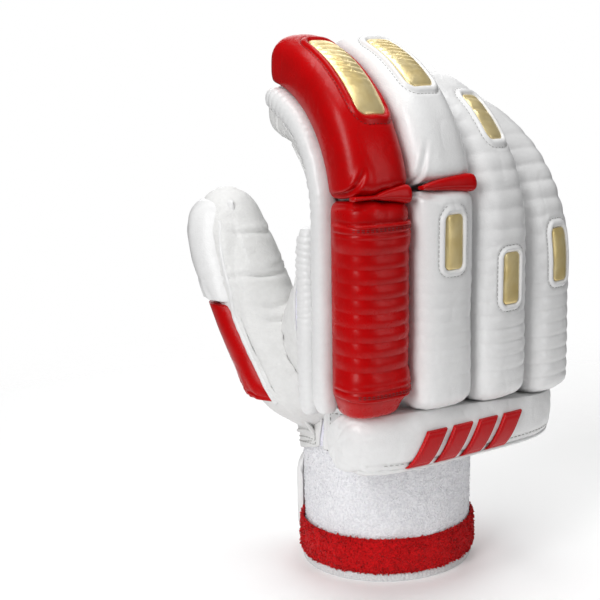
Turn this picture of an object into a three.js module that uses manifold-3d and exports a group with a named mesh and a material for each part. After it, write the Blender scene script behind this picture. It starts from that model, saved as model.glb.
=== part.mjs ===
// Cricket batting glove for the right hand, standing on its cuff with the fingers up.
// Millimetres. +Z runs from the cuff to the fingertips, -Y is the back of the hand with
// its padded rolls, +Y is the palm and -X is the thumb side. z = 0 is the floor.
import * as THREE from 'three';
import Module from 'manifold-3d';

const wasm = await Module();
wasm.setup();

// Fit and walls
const clearance = 0.3;
const leatherWall = 1.8;
const stallWall = 1.6;

// Cuff
const cuffHalfWidth = 44;
const cuffHalfDepth = 41;
const cuffForward = 2;
const cuffTop = 84;
const terryWall = 2.4;
const hemHeight = 4;
const hemThickness = 0.7;
const bandHeight = 18;
const bandWall = 1.8;

// Hand
const handHalfWidth = 64;
const heelReach = 34;
const handHeight = 172;
const neckHeight = 86;
const frontSkirt = 77;
const palmSkirt = 53;

// Finger rolls
const rollPitch = 34;
const rollWidth = 33.4;
const rollDepth = 24;
const rollBottom = 95;
const rollRound = 9;
const backReach = 48.5;
const backArch = 4.5;
const knuckleHeight = 186;
const bendRadius = 58;
const knuckleSplit = 98;
const splitGap = 2.4;
const ribPitch = 7;
const ribDepth = 1.3;
const insertRadius = 3.8;
const insertBury = 4;

// Finger stalls and caps
const stallWidth = 25;
const stallDepth = 26;
const stallRoot = 26;
const capLength = 29;
const capReach = 9;
const domeShare = 0.62;

// Side gussets, measured down from the foot of the rolls
const handGussetTop = 23;
const fingerGussetTop = 9;
const gussetWidth = 7.5;
const seamBendBelow = 16;
const seamBendAbove = 10;

// Gold bars
const goldWidth = 17;
const goldThickness = 2;
const goldProud = 0.5;
const goldCorner = 0.7;
const goldRim = 4;

// Thumb
const thumbHalfDepth = 17.5;
const thumbHalfBreadth = 17.5;
const thumbPadDepth = 9;
const thumbTurn = 24;

// Pads on the thumb side of the index finger
const sideBarHeight = 11;
const sideBarBulge = 6;
const sideBarLean = 1;
const sidePanelWall = 1.8;
const sidePanelReach = 30;
const sidePanelEnd = 14;
const sidePanelDrop = 5;

// Wrist bar
const barHalfLength = 65;
const barOffset = 2;
const barHeight = 29;
const barDepth = 20;
const barMiddle = 80.5;
const barSink = 1;
const barWrap = 15;
const barRoundFrom = 0.78;
const lozengeCount = 4;
const lozengePitch = 16;
const lozengeOffset = -4;
const lozengeMiddle = 77;
const lozengeWidth = 11.5;
const lozengeHeight = 17;
const lozengeThickness = 2;
const lozengeSlant = 5;

// Palm side
const patchOffset = 25.5;
const patchMiddle = 100;
const patchHalfWidth = 31;
const patchHalfHeight = 37;
const patchWall = 1.8;
const strapHeight = 43;
const strapBottom = 6;
const strapWall = 2.6;
const strapCorner = 8;
const strapStart = 12;
const strapEnd = 130;

// Facets round each kind of section
const cuffFacets = 24;
const handFacets = 20;
const hollowFacets = 16;
const thumbFacets = 14;
const barFacets = 14;
const patchFacets = 28;
const padFacets = 12;
const domeFacets = 12;
const stallFacets = 8;
const rollFacets = 10;

// One row for each finger. Angles are degrees, all else is a share of the size named above:
// bottom of rollBottom, split of knuckleSplit, knuckle of knuckleHeight, bend of bendRadius and
// width of rollWidth.
const fingers = [
  { name: 'index', yaw: -3, bottom: 1, split: 1, knuckle: 1, bend: 1, arc: 86, width: 1 },
  { name: 'middle', yaw: 0, bottom: 0.99, split: 1.03, knuckle: 1, bend: 1, arc: 86, width: 1 },
  { name: 'ring', yaw: 3, bottom: 0.97, split: 1, knuckle: 0.925, bend: 0.99, arc: 84, width: 1 },
  { name: 'little', yaw: 7, bottom: 0.94, split: 1, knuckle: 0.83, bend: 1.06, arc: 80, width: 0.93 },
];

// One row for each padded roll. split says which side of the knuckle fold it lies on, ribs
// is a share of ribDepth, ribFrom and ribTo are shares of the roll's length.
const rolls = [
  { name: 'index_lower_roll', finger: 0, split: 'below', ribs: 1, ribFrom: 0.14, ribTo: 0.88 },
  { name: 'index_upper_roll', finger: 0, split: 'above', ribs: 0, ribFrom: 0, ribTo: 0 },
  { name: 'middle_lower_roll', finger: 1, split: 'below', ribs: 0.45, ribFrom: 0.1, ribTo: 0.6 },
  { name: 'middle_upper_roll', finger: 1, split: 'above', ribs: 0, ribFrom: 0, ribTo: 0 },
  { name: 'ring_roll', finger: 2, split: 'none', ribs: 0.6, ribFrom: 0.08, ribTo: 0.74 },
  { name: 'little_roll', finger: 3, split: 'none', ribs: 0.6, ribFrom: 0.08, ribTo: 0.78 },
];

// One row for each gold bar. from and to are shares of the finger's length, side is a share
// of rollWidth from the middle line, width is a share of goldWidth. goldCorner is the share
// of a bar's half width that its corners are rounded over.
const goldBars = [
  { name: 'index_gold_bar', roll: 'index_upper_roll', from: 0.7, to: 0.92, side: 0.1, width: 1 },
  { name: 'middle_gold_bar_upper', roll: 'middle_upper_roll', from: 0.76, to: 0.92, side: 0.03, width: 0.9 },
  { name: 'middle_gold_bar_lower', roll: 'middle_lower_roll', from: 0.37, to: 0.51, side: 0, width: 0.6 },
  { name: 'ring_gold_bar_upper', roll: 'ring_roll', from: 0.69, to: 0.81, side: 0.12, width: 0.62 },
  { name: 'ring_gold_bar_lower', roll: 'ring_roll', from: 0.29, to: 0.44, side: 0.02, width: 0.62 },
  { name: 'little_gold_bar', roll: 'little_roll', from: 0.375, to: 0.515, side: 0.06, width: 0.6 },
];

// One row for each fold in the knuckle split. from and to are shares of rollWidth.
const inserts = [
  { name: 'index_knuckle_insert', finger: 0, from: -0.1, to: 0.44 },
  { name: 'middle_knuckle_insert', finger: 1, from: -0.5, to: 0.46 },
];

// One row for each pad along the thumb side of the index finger. from and to are shares of
// the finger's length, rank counts the pads down from the roll, lean is a share of sideBarLean.
const sideBars = [
  { name: 'side_bar_long', rank: 0, from: -0.006, to: 0.966, lean: 1 },
  { name: 'side_bar_short', rank: 1, from: -0.022, to: 0.472, lean: 2 },
];

// One row for each pad on the back of the thumb. from and to are shares of its centre line,
// depth is a share of thumbPadDepth and breadth of thumbHalfBreadth.
const thumbPads = [
  { name: 'thumb_upper_pad', from: 0.345, to: 0.82, depth: 1, breadth: 0.8, finish: 'whiteLeather' },
  { name: 'thumb_lower_pad', from: 0.02, to: 0.335, depth: 0.78, breadth: 0.63, finish: 'redLeather' },
];

// Plan sections of the hand from the cuff up. rise is a share of the way from neckHeight to
// handHeight, width of handHalfWidth, depth of handDepth from the back, square is the corner
// exponent.
const handSections = [
  { rise: 0.13, width: 0.86, depth: 1.02, square: 2.2 },
  { rise: 0.3, width: 0.96, depth: 0.988, square: 2.4 },
  { rise: 0.52, width: 1, depth: 0.86, square: 2.6 },
  { rise: 0.72, width: 1.01, depth: 0.68, square: 2.8 },
  { rise: 0.88, width: 1.01, depth: 0.506, square: 3 },
  { rise: 1, width: 1, depth: 0.39, square: 3 },
];

// Sections of the thumb from its root to its tip. x is a share of handHalfWidth, y of
// heelReach and z of handHeight, depth and breadth are shares of the thumb's half sizes.
const thumbSections = [
  { x: -0.7, y: 0.22, z: 0.52, depth: 1.16, breadth: 1.22 },
  { x: -0.81, y: 0.54, z: 0.655, depth: 1.1, breadth: 1.22 },
  { x: -0.885, y: 0.87, z: 0.79, depth: 1.02, breadth: 1.12 },
  { x: -0.93, y: 1.15, z: 0.92, depth: 1, breadth: 1 },
  { x: -0.95, y: 1.34, z: 1.02, depth: 0.84, breadth: 0.85 },
  { x: -0.955, y: 1.41, z: 1.075, depth: 0.58, breadth: 0.6 },
  { x: -0.955, y: 1.44, z: 1.1, depth: 0.2, breadth: 0.22 },
];

const palette = {
  whiteLeather: { color: 0xe8e8e6, roughness: 0.5 },
  palmLeather: { color: 0xdcdbd8, roughness: 0.65 },
  redLeather: { color: 0xa80d10, roughness: 0.38 },
  gold: { color: 0xd8c48a, roughness: 0.28, metalness: 0.8 },
  mesh: { color: 0xd9d8e4, roughness: 0.85 },
  terryWhite: { color: 0xe2e2e4, roughness: 0.95 },
  terryRed: { color: 0xa01418, roughness: 0.95 },
  lining: { color: 0xd6d6d6, roughness: 0.8 },
};

// The hand at its deepest, from its back to its heel
const handDepth = backReach + heelReach;

// Further than the glove reaches to any side
const beyond = 3 * handHalfWidth;

const turn = Math.PI * 2;
const rad = THREE.MathUtils.degToRad;
const mix = THREE.MathUtils.lerp;

// A ring of points on a superellipse in the plane of two half axes.
function ring(centre, halfA, halfB, square, count) {
  const points = [];
  for (let k = 0; k < count; k += 1) {
    const a = (turn * k) / count;
    const c = Math.cos(a);
    const s = Math.sin(a);
    const u = Math.sign(c) * Math.abs(c) ** (2 / square);
    const v = Math.sign(s) * Math.abs(s) ** (2 / square);
    points.push(centre.clone().addScaledVector(halfA, u).addScaledVector(halfB, v));
  }
  return points;
}

// A closed solid through sections of equal point count, each end closed by a fan.
function loft(sections) {
  const count = sections[0].length;
  const points = sections.flat();
  const faces = [];
  for (let j = 0; j + 1 < sections.length; j += 1) {
    for (let k = 0; k < count; k += 1) {
      const a = j * count + k;
      const b = j * count + ((k + 1) % count);
      faces.push([a, b, b + count], [a, b + count, a + count]);
    }
  }
  for (const end of [0, sections.length - 1]) {
    const middle = new THREE.Vector3();
    sections[end].forEach((p) => middle.addScaledVector(p, 1 / count));
    const hub = points.push(middle) - 1;
    for (let k = 0; k < count; k += 1) {
      const a = end * count + k;
      const b = end * count + ((k + 1) % count);
      faces.push(end === 0 ? [hub, b, a] : [hub, a, b]);
    }
  }
  return solidOf(points, faces);
}

function solidOf(points, faces) {
  let volume = 0;
  const cross = new THREE.Vector3();
  for (const [a, b, c] of faces) {
    volume += points[a].dot(cross.crossVectors(points[b], points[c]));
  }
  const outward = volume > 0 ? faces : faces.map(([a, b, c]) => [a, c, b]);
  return new wasm.Manifold(new wasm.Mesh({
    numProp: 3,
    vertProperties: Float32Array.from(points.flatMap((p) => [p.x, p.y, p.z])),
    triVerts: Uint32Array.from(outward.flat()),
  }));
}

const union = (solids) => solids.reduce((a, b) => a.add(b));

// The connected pieces of a solid, largest first.
function piecesOf(solid) {
  return solid.decompose().sort((a, b) => b.volume() - a.volume());
}

// The frame of one finger: s runs up from the foot of its roll and over the knuckle bend,
// l runs across towards the little finger and d stands out from the back of the hand.
function fingerFrame(index) {
  const row = fingers[index];
  const place = (index - 1.5) / 1.5;
  const foot = new THREE.Vector3(
    (index - 1.5) * rollPitch,
    -backReach + backArch * place * place,
    rollBottom * row.bottom,
  );
  const yaw = rad(row.yaw);
  const across = new THREE.Vector3(Math.cos(yaw), Math.sin(yaw), 0);
  const back = new THREE.Vector3(Math.sin(yaw), -Math.cos(yaw), 0);
  const up = new THREE.Vector3(0, 0, 1);
  const radius = bendRadius * row.bend;
  const straight = knuckleHeight * row.knuckle - foot.z;
  const total = straight + radius * rad(row.arc);
  const at = (s, l, d) => {
    const point = foot.clone().addScaledVector(across, l);
    if (s <= straight) {
      return point.addScaledVector(up, s).addScaledVector(back, d);
    }
    const t = (s - straight) / radius;
    const reach = radius + d;
    point.addScaledVector(up, straight + reach * Math.sin(t));
    return point.addScaledVector(back, reach * Math.cos(t) - radius);
  };
  const split = knuckleSplit * row.split;
  return { at, foot, straight, total, split, halfWidth: (rollWidth * row.width) / 2 };
}

const frames = fingers.map((row, index) => fingerFrame(index));

// Evenly spaced stations from one length to another, no further apart than step.
function stations(from, to, step) {
  const count = Math.max(1, Math.round((to - from) / step));
  return Array.from({ length: count + 1 }, (unused, k) => mix(from, to, k / count));
}

// How far a roll runs along its finger.
function rollSpan(row) {
  const frame = frames[row.finger];
  const from = row.split === 'above' ? frame.split + splitGap / 2 : 0;
  const to = row.split === 'below' ? frame.split - splitGap / 2 : frame.total;
  return { from, to };
}

// True where a station lies beside a gold bar, whose rim keeps its roll free of ribs.
function besideGold(row, s) {
  const { total } = frames[row.finger];
  return goldBars.some((bar) => bar.roll === row.name
    && s > bar.from * total - goldRim && s < bar.to * total + goldRim);
}

// Half width and depth of a roll at a station: round at both ends, narrower over the
// fingertip, and drawn in between its ribs.
function rollShape(row, s, grow) {
  const { from, to } = rollSpan(row);
  const frame = frames[row.finger];
  const edge = Math.min(1, Math.max(0, Math.min(s - from, to - s)) / rollRound);
  const end = mix(0.62, 1, Math.sqrt(1 - (1 - edge) ** 2));
  const tip = Math.max(0, (s - frame.straight) / (frame.total - frame.straight));
  const ribbed = s > mix(from, to, row.ribFrom) && s < mix(from, to, row.ribTo) && !besideGold(row, s);
  const wave = ribbed ? row.ribs * ribDepth * (1 - Math.cos((turn * (s - from)) / ribPitch)) / 2 : 0;
  const width = frame.halfWidth * end * mix(1, 0.87, tip * tip) - 0.35 * wave;
  const depth = rollDepth * end * mix(1, 0.94, tip) - wave;
  return { width: width + grow, depth: depth + grow };
}

// Where the points of a roll's section lie round it, in degrees: a round crown on a flat foot.
const rollAngles = [10, 38, 64, 90, 116, 142, 170, 225, 315];

function rollRing(frame, s, shape, base) {
  return rollAngles.map((angle) => {
    const c = Math.cos(rad(angle));
    const v = Math.sin(rad(angle));
    const l = Math.sign(c) * Math.abs(c) ** 0.7;
    const d = v > 0 ? v ** 0.84 : -1;
    return frame.at(s, l * shape.width, base + (shape.depth - base) * 0.5 * (1 + d));
  });
}

// The stations of a roll: close at its round ends, two for each rib, wider where plain.
function rollStations(row) {
  const { from, to } = rollSpan(row);
  const list = [0, 0.25, 1].map((share) => from + share * rollRound);
  const half = ribPitch / 2;
  const ribbed = (s) => row.ribs > 0 && s > mix(from, to, row.ribFrom) && s < mix(from, to, row.ribTo);
  for (let s = from + half; s < to - rollRound - half; s += half) {
    const last = list[list.length - 1];
    if (s - last > 3 * half || (ribbed(s) && !besideGold(row, s) && s - last > 0.4 * half)) {
      list.push(s);
    }
  }
  return [...list, ...[1, 0.25, 0].map((share) => to - share * rollRound)];
}

function rollSolid(row, grow) {
  const frame = frames[row.finger];
  const list = rollStations(row);
  list[0] -= grow;
  list[list.length - 1] += grow;
  const base = clearance - grow;
  return loft(list.map((s) => rollRing(frame, s, rollShape(row, s, grow), base)));
}

// A gold bar follows the crown of its roll and lies in a pocket of its own outline.
function goldSolid(bar, grow) {
  const row = rolls.find((one) => one.name === bar.roll);
  const frame = frames[row.finger];
  const from = bar.from * frame.total - grow;
  const to = bar.to * frame.total + grow;
  const half = (goldWidth * bar.width) / 2 + grow;
  const middle = bar.side * rollWidth;
  const sections = [];
  const corner = (goldCorner * goldWidth * bar.width) / 2;
  const ends = [0, 0.3, 1].map((share) => share * corner);
  const list = [
    ...ends.map((e) => from + e),
    ...stations(from + corner, to - corner, 9).slice(1, -1),
    ...ends.reverse().map((e) => to - e),
  ];
  for (const s of list) {
    const edge = 1 - Math.min(1, Math.min(s - from, to - s) / corner);
    const reach = half - corner * 0.8 * (1 - Math.sqrt(1 - edge ** 2));
    const shape = rollShape(row, s, 0);
    const crown = (l) => {
      const side = Math.min(1, Math.abs(l / shape.width) ** 2.5);
      return shape.depth * 0.5 * (1 + (1 - side) ** 0.42);
    };
    const across = [-1, -0.4, 0.4, 1].map((share) => middle + share * reach);
    const top = across.map((l) => frame.at(s, l, crown(l) + goldProud + grow));
    const foot = across.map((l) => frame.at(s, l, crown(l) + goldProud - goldThickness - grow));
    sections.push([...top, ...foot.reverse()]);
  }
  return loft(sections);
}

// The small roll that is folded into the knuckle split, from one side to the other.
function insertSolid(row, grow) {
  const frame = frames[row.finger];
  const sections = [0, 0.08, 0.5, 0.92, 1].map((share) => {
    const l = mix(row.from * rollWidth - grow, row.to * rollWidth + grow, share);
    const radius = (insertRadius + grow) * (share === 0 || share === 1 ? 0.6 : 1);
    const points = [];
    for (let k = 0; k < rollFacets; k += 1) {
      const a = (turn * k) / rollFacets;
      const d = rollDepth - insertBury + radius * Math.cos(a);
      points.push(frame.at(frame.split + radius * Math.sin(a), l, d));
    }
    return points;
  });
  return loft(sections);
}

// One finger stall, a rounded tube under its roll. dome closes it at the tip.
function stallSolid(frame, from, to, grow, dome) {
  const spread = dome ? [0, 0.45, 0.75, 0.92, 1] : stations(0, 1, 0.16);
  const count = dome && grow >= 0 ? domeFacets : stallFacets;
  const flat = Math.cos(Math.PI / count) ** 0.8;
  const sections = spread.map((share) => {
    const s = mix(from, to, share);
    const past = Math.max(0, 1 - (to - s) / (domeShare * capLength));
    const size = dome ? Math.sqrt(Math.max(0.05, 1 - past ** 2.4)) : 1;
    const halfDepth = ((stallDepth / 2 - clearance + grow) * size) / flat;
    const halfWidth = ((stallWidth / 2 + grow) * size) / flat;
    const points = [];
    for (let k = 0; k < count; k += 1) {
      const a = (turn * (k + 0.5)) / count;
      const l = Math.sign(Math.cos(a)) * Math.abs(Math.cos(a)) ** 0.8 * halfWidth;
      const d = Math.sign(Math.sin(a)) * Math.abs(Math.sin(a)) ** 0.8 * halfDepth;
      points.push(frame.at(s, l, d - stallDepth / 2));
    }
    return points;
  });
  return loft(sections);
}

// The hand without fingers, from inside the cuff opening to the crotch of the fingers.
function handBlock(grow) {
  const sleeve = clearance + leatherWall + grow;
  const middle = -cuffForward;
  const rows = [palmSkirt - leatherWall, neckHeight].map((z) => ({
    z,
    width: cuffHalfWidth + sleeve,
    front: middle - cuffHalfDepth - sleeve,
    palm: middle + cuffHalfDepth + sleeve,
    square: 2,
  }));
  for (const section of handSections) {
    rows.push({
      z: mix(neckHeight, handHeight, section.rise) + (section.rise === 1 ? grow : 0),
      width: handHalfWidth * section.width + grow,
      front: -backReach - grow,
      palm: -backReach + handDepth * section.depth + grow,
      square: section.square,
    });
  }
  return loft(rows.map((row) => ring(
    new THREE.Vector3(0, (row.front + row.palm) / 2, row.z),
    new THREE.Vector3(row.width, 0, 0),
    new THREE.Vector3(0, (row.palm - row.front) / 2, 0),
    row.square,
    grow < 0 ? hollowFacets : handFacets,
  )));
}

// Everything that lies further out than a depth, which may change along the fingers.
function backRegion(depthAt) {
  const wide = rollPitch / 2 + clearance;
  return union(frames.map((frame, index) => {
    const left = index === 0 ? -beyond : -wide;
    const right = index === frames.length - 1 ? beyond : wide;
    const bent = stations(frame.straight, frame.total + capReach, 18).slice(1);
    const list = [-frame.foot.z, ...stations(0, frame.straight, 30), ...bent];
    return loft(list.map((s) => {
      const low = depthAt(frame.foot.z + s);
      const corners = [[left, low], [right, low], [right, 2 * rollDepth], [left, 2 * rollDepth]];
      return corners.map(([l, d]) => frame.at(s, l, d));
    }));
  }));
}

function handForm(grow) {
  const mouth = grow < 0 ? -grow : 0;
  const stalls = frames.map((frame) => {
    const from = handHeight - stallRoot - frame.foot.z;
    return stallSolid(frame, from, frame.total + capReach - capLength + mouth, grow, false);
  });
  return union([handBlock(grow).subtract(backRegion(() => grow - 3 * clearance)), ...stalls]);
}

// The depth of a seam below the rolls: low on the hand, nearer the rolls on the fingers.
function seamDepth(handDepth, fingerDepth) {
  return (z) => {
    const share = THREE.MathUtils.smoothstep(z, handHeight - seamBendBelow, handHeight + seamBendAbove);
    return -mix(handDepth, fingerDepth, share);
  };
}

// The thumb stall and the pads on its back, round a centre line of its own.
const thumbOut = new THREE.Vector3(-Math.cos(rad(thumbTurn)), Math.sin(rad(thumbTurn)), 0);
const thumbAcross = new THREE.Vector3(Math.sin(rad(thumbTurn)), Math.cos(rad(thumbTurn)), 0);

function thumbCentre(row) {
  return new THREE.Vector3(row.x * handHalfWidth, row.y * heelReach, row.z * handHeight);
}

function thumbSolid(grow) {
  return loft(thumbSections.map((row, k) => {
    const last = k === thumbSections.length - 1;
    const centre = thumbCentre(row);
    centre.z += last ? grow : 0;
    return ring(
      centre,
      thumbOut.clone().multiplyScalar(thumbHalfDepth * row.depth + grow),
      thumbAcross.clone().multiplyScalar(thumbHalfBreadth * row.breadth + grow),
      2.2,
      thumbFacets,
    );
  }));
}

function thumbPad(pad) {
  const line = new THREE.CatmullRomCurve3(thumbSections.map((row) => thumbCentre(row)
    .addScaledVector(thumbOut, thumbHalfDepth * row.depth)));
  const sections = [0, 0.05, 0.15, 0.35, 0.55, 0.75, 0.88, 0.96, 1].map((share) => {
    const round = Math.sqrt(1 - Math.abs(2 * share - 1) ** 5);
    const size = mix(0.45, 1, round);
    return ring(
      line.getPoint(mix(pad.from, pad.to, share)),
      thumbOut.clone().multiplyScalar(thumbPadDepth * pad.depth * size),
      thumbAcross.clone().multiplyScalar(thumbHalfBreadth * pad.breadth * size),
      2.2,
      padFacets,
    );
  });
  return loft(sections);
}

// The bulging pads along the thumb side of the index finger.
function sideBar(bar) {
  const frame = frames[0];
  const from = bar.from * frame.total;
  const to = bar.to * frame.total;
  const side = -stallWidth / 2 - bar.lean * sideBarLean;
  const middle = -(bar.rank + 1) * clearance - (bar.rank + 0.5) * sideBarHeight;
  const list = [from, from + 2.5, ...stations(from + rollRound, to - rollRound, 13), to - 2.5, to];
  return loft(list.map((s) => {
    const edge = Math.min(1, Math.min(s - from, to - s) / rollRound);
    const size = mix(0.45, 1, Math.sqrt(1 - (1 - edge) ** 2));
    const points = [];
    for (let k = 0; k < rollFacets; k += 1) {
      const a = (turn * k) / rollFacets;
      const l = side + sideBarBulge * size * Math.cos(a);
      points.push(frame.at(s, l, middle + (sideBarHeight / 2) * size * Math.sin(a)));
    }
    return points;
  }));
}

// The padded bar across the wrist, bent round the back of the hand.
function barSolid(grow) {
  const list = [-1, -0.97, -0.9, -barRoundFrom, -0.45, 0, 0.45, barRoundFrom, 0.9, 0.97, 1];
  return loft(list.map((share) => {
    const reach = Math.abs(share);
    const edge = Math.max(0, (reach - barRoundFrom) / (1 - barRoundFrom));
    const size = mix(0.5, 1, Math.sqrt(1 - edge ** 2));
    const wrap = barWrap * reach ** 5;
    return ring(
      new THREE.Vector3(
        barOffset + share * (barHalfLength + grow),
        -backReach - barDepth / 2 + barSink + wrap,
        barMiddle,
      ),
      new THREE.Vector3(0, (barDepth / 2) * size + grow, 0),
      new THREE.Vector3(0, 0, (barHeight / 2) * size + grow),
      2.5,
      barFacets,
    );
  }));
}

function lozengeSolid(place) {
  const middle = lozengeOffset + place * lozengePitch;
  const corners = [[-1, -1], [1, -1], [1, 1], [-1, 1]];
  const outline = (y) => corners.map(([side, rise]) => new THREE.Vector3(
    middle + (side * lozengeWidth) / 2 + rise * lozengeSlant,
    y,
    lozengeMiddle + (rise * lozengeHeight) / 2,
  ));
  return loft([outline(-backReach - 2 * barDepth), outline(-backReach - barDepth / 2)]);
}

// The cuff is an oval tube of towelling.
function cuffTube(outward, bottom, top) {
  return loft([bottom, top].map((z) => ring(
    new THREE.Vector3(0, -cuffForward, z),
    new THREE.Vector3(cuffHalfWidth + outward, 0, 0),
    new THREE.Vector3(0, cuffHalfDepth + outward, 0),
    2,
    cuffFacets,
  )));
}

function cuffRing(inward, outward, bottom, top) {
  return cuffTube(outward, bottom, top).subtract(cuffTube(-inward, bottom - 1, top + 1));
}

// The closing strap lies round the palm side of the cuff, its free end near the thumb.
function strapSolid() {
  const inner = bandWall + 2 * clearance;
  const middle = strapBottom + strapHeight / 2;
  const list = [...stations(strapStart, strapEnd - 12, 12), strapEnd - 7, strapEnd - 2, strapEnd];
  return loft(list.map((angle) => {
    const a = rad(angle);
    const away = (rad(strapEnd) - a) * cuffHalfWidth;
    const round = Math.min(1, away / strapCorner);
    const half = strapHeight / 2 - strapCorner * (1 - Math.sqrt(1 - (1 - round) ** 2));
    const at = (out, z) => new THREE.Vector3(
      (cuffHalfWidth + out) * Math.cos(a),
      -cuffForward + (cuffHalfDepth + out) * Math.sin(a),
      z,
    );
    const outer = inner + strapWall;
    const corners = [[inner, -half], [outer, -half], [outer, half], [inner, half]];
    return corners.map(([out, rise]) => at(out, middle + rise));
  }));
}

const parts = new Map();
const add = (name, solid, finish) => parts.set(name, { solid, finish });

// Cuff, red band and hem
add('cuff', cuffRing(terryWall, 0, hemHeight + clearance, cuffTop), 'terryWhite');
add('cuff_band', cuffTube(bandWall + clearance, hemHeight + clearance, hemHeight + clearance + bandHeight)
  .subtract(cuffTube(clearance, 0, cuffTop)), 'terryRed');
add('cuff_hem', cuffRing(terryWall, hemThickness, 0, hemHeight), 'lining');

// Hand shell, cut level with the slanted lower edge and split along the gusset seams
const handOuter = handForm(0);
const handInner = handForm(-stallWall);
const handKeep = handForm(clearance);
const thumbOuter = thumbSolid(0);
const thumbInner = thumbSolid(-leatherWall);
const thumbKeep = thumbSolid(clearance);
const skirtSlope = (frontSkirt - palmSkirt) / (2 * cuffHalfDepth);
const skirtAt = (y) => frontSkirt - skirtSlope * (y + cuffForward + cuffHalfDepth);
const below = loft([-beyond, beyond].map((x) => [
  new THREE.Vector3(x, -beyond, -beyond),
  new THREE.Vector3(x, beyond, -beyond),
  new THREE.Vector3(x, beyond, skirtAt(beyond)),
  new THREE.Vector3(x, -beyond, skirtAt(-beyond)),
]));
const cuffHole = cuffTube(clearance, -1, cuffTop + clearance);
const shell = handOuter.subtract(handInner).subtract(below).subtract(cuffHole).subtract(thumbInner);
const upperSeam = (gap) => backRegion(seamDepth(handGussetTop + gap, fingerGussetTop + gap));
const lowerSeam = (gap) => backRegion(
  seamDepth(handGussetTop + gussetWidth + gap, fingerGussetTop + gussetWidth + gap),
);
add('back_shell', piecesOf(shell.intersect(upperSeam(0)))[0], 'whiteLeather');
add('palm_leather', piecesOf(shell.subtract(lowerSeam(0)))[0], 'palmLeather');

// The inner mesh strips keep between the middle planes of their fingers, above the foot of
// the rolls, and the outer two have all the rest of their side of the hand.
function prism(plan, bottom) {
  return loft([bottom, 2 * beyond].map((z) => plan.map((p) => new THREE.Vector3(p.x, p.y, z))));
}

function columnAfter(index) {
  const [a, b] = [1, -1].map((way) => frames[index].at(0, 0, way * beyond));
  const [d, c] = [1, -1].map((way) => frames[index + 1].at(0, 0, way * beyond));
  return prism([a, b, c, d], rollBottom);
}

function halfSpace(side) {
  const plan = [[0, -1], [0, 1], [side, 1], [side, -1]];
  return prism(plan.map(([x, y]) => new THREE.Vector3(x * beyond, y * beyond, 0)), -beyond);
}

const strip = shell.intersect(lowerSeam(-clearance)).subtract(upperSeam(clearance));
const columns = ['index_middle', 'middle_ring', 'ring_little'].map((name, k) => {
  const column = columnAfter(k);
  add(`gusset_${name}`, piecesOf(strip.intersect(column))[0], 'mesh');
  return column;
});
const outerStrips = strip.subtract(union(columns));
add('gusset_thumb_side', piecesOf(outerStrips.intersect(halfSpace(-1)))[0], 'mesh');
add('gusset_little_side', piecesOf(outerStrips.intersect(halfSpace(1)))[0], 'mesh');

// Fingertip caps
function capForm(frame, grow, mouth) {
  const from = frame.total + capReach - capLength + clearance;
  return stallSolid(frame, from - mouth, frame.total + capReach + grow, grow, true);
}
frames.forEach((frame, index) => {
  const inner = capForm(frame, -leatherWall, leatherWall);
  add(`${fingers[index].name}_cap`, capForm(frame, 0, 0).subtract(inner), 'palmLeather');
});

// Padded rolls with their gold bars and knuckle inserts
for (const row of rolls) {
  let solid = rollSolid(row, 0);
  goldBars.filter((bar) => bar.roll === row.name).forEach((bar) => {
    solid = solid.subtract(goldSolid(bar, clearance));
  });
  inserts.filter((insert) => insert.finger === row.finger).forEach((insert) => {
    solid = solid.subtract(insertSolid(insert, clearance));
  });
  add(row.name, piecesOf(solid)[0], row.finger === 0 ? 'redLeather' : 'whiteLeather');
}
goldBars.forEach((bar) => add(bar.name, goldSolid(bar, 0), 'gold'));
inserts.forEach((insert) => add(insert.name, insertSolid(insert, 0), 'redLeather'));

// Thumb
add('thumb_leather', piecesOf(thumbOuter.subtract(thumbInner).subtract(handKeep))[0], 'palmLeather');
const padRoom = thumbKeep.add(handKeep);
thumbPads.forEach((pad) => add(pad.name, piecesOf(thumbPad(pad).subtract(padRoom))[0], pad.finish));

// Pads and panel on the thumb side
const sideRoom = union([handKeep, thumbKeep, capForm(frames[0], clearance, leatherWall)]);
sideBars.forEach((bar) => add(bar.name, piecesOf(sideBar(bar).subtract(sideRoom))[0], 'whiteLeather'));

const panelBlank = loft([-beyond, -sidePanelReach].map((x) => [
  new THREE.Vector3(x, -backReach, palmSkirt),
  new THREE.Vector3(x, -sidePanelEnd, palmSkirt),
  new THREE.Vector3(x, -sidePanelEnd, rollBottom - sidePanelDrop),
  new THREE.Vector3(x, -backReach, rollBottom - sidePanelDrop),
]));
const panelSkin = handBlock(clearance + sidePanelWall).subtract(handBlock(clearance));

// Wrist bar with its raised lozenges
const lowerRolls = union(
  rolls.filter((row) => row.split !== 'above').map((row) => rollSolid(row, clearance)),
);
const barKeep = barSolid(clearance);
const panelRoom = union([barKeep, below, lowerRolls]);
add('side_panel', piecesOf(panelSkin.intersect(panelBlank).subtract(panelRoom))[0], 'whiteLeather');
add('wrist_bar', piecesOf(barSolid(0).subtract(handKeep).subtract(lowerRolls))[0], 'whiteLeather');
for (let k = 0; k < lozengeCount; k += 1) {
  const blank = barSolid(clearance + lozengeThickness).subtract(barKeep);
  const lozenge = blank.intersect(lozengeSolid(k - (lozengeCount - 1) / 2)).subtract(lowerRolls);
  add(`bar_lozenge_${k + 1}`, piecesOf(lozenge)[0], 'redLeather');
}

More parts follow.
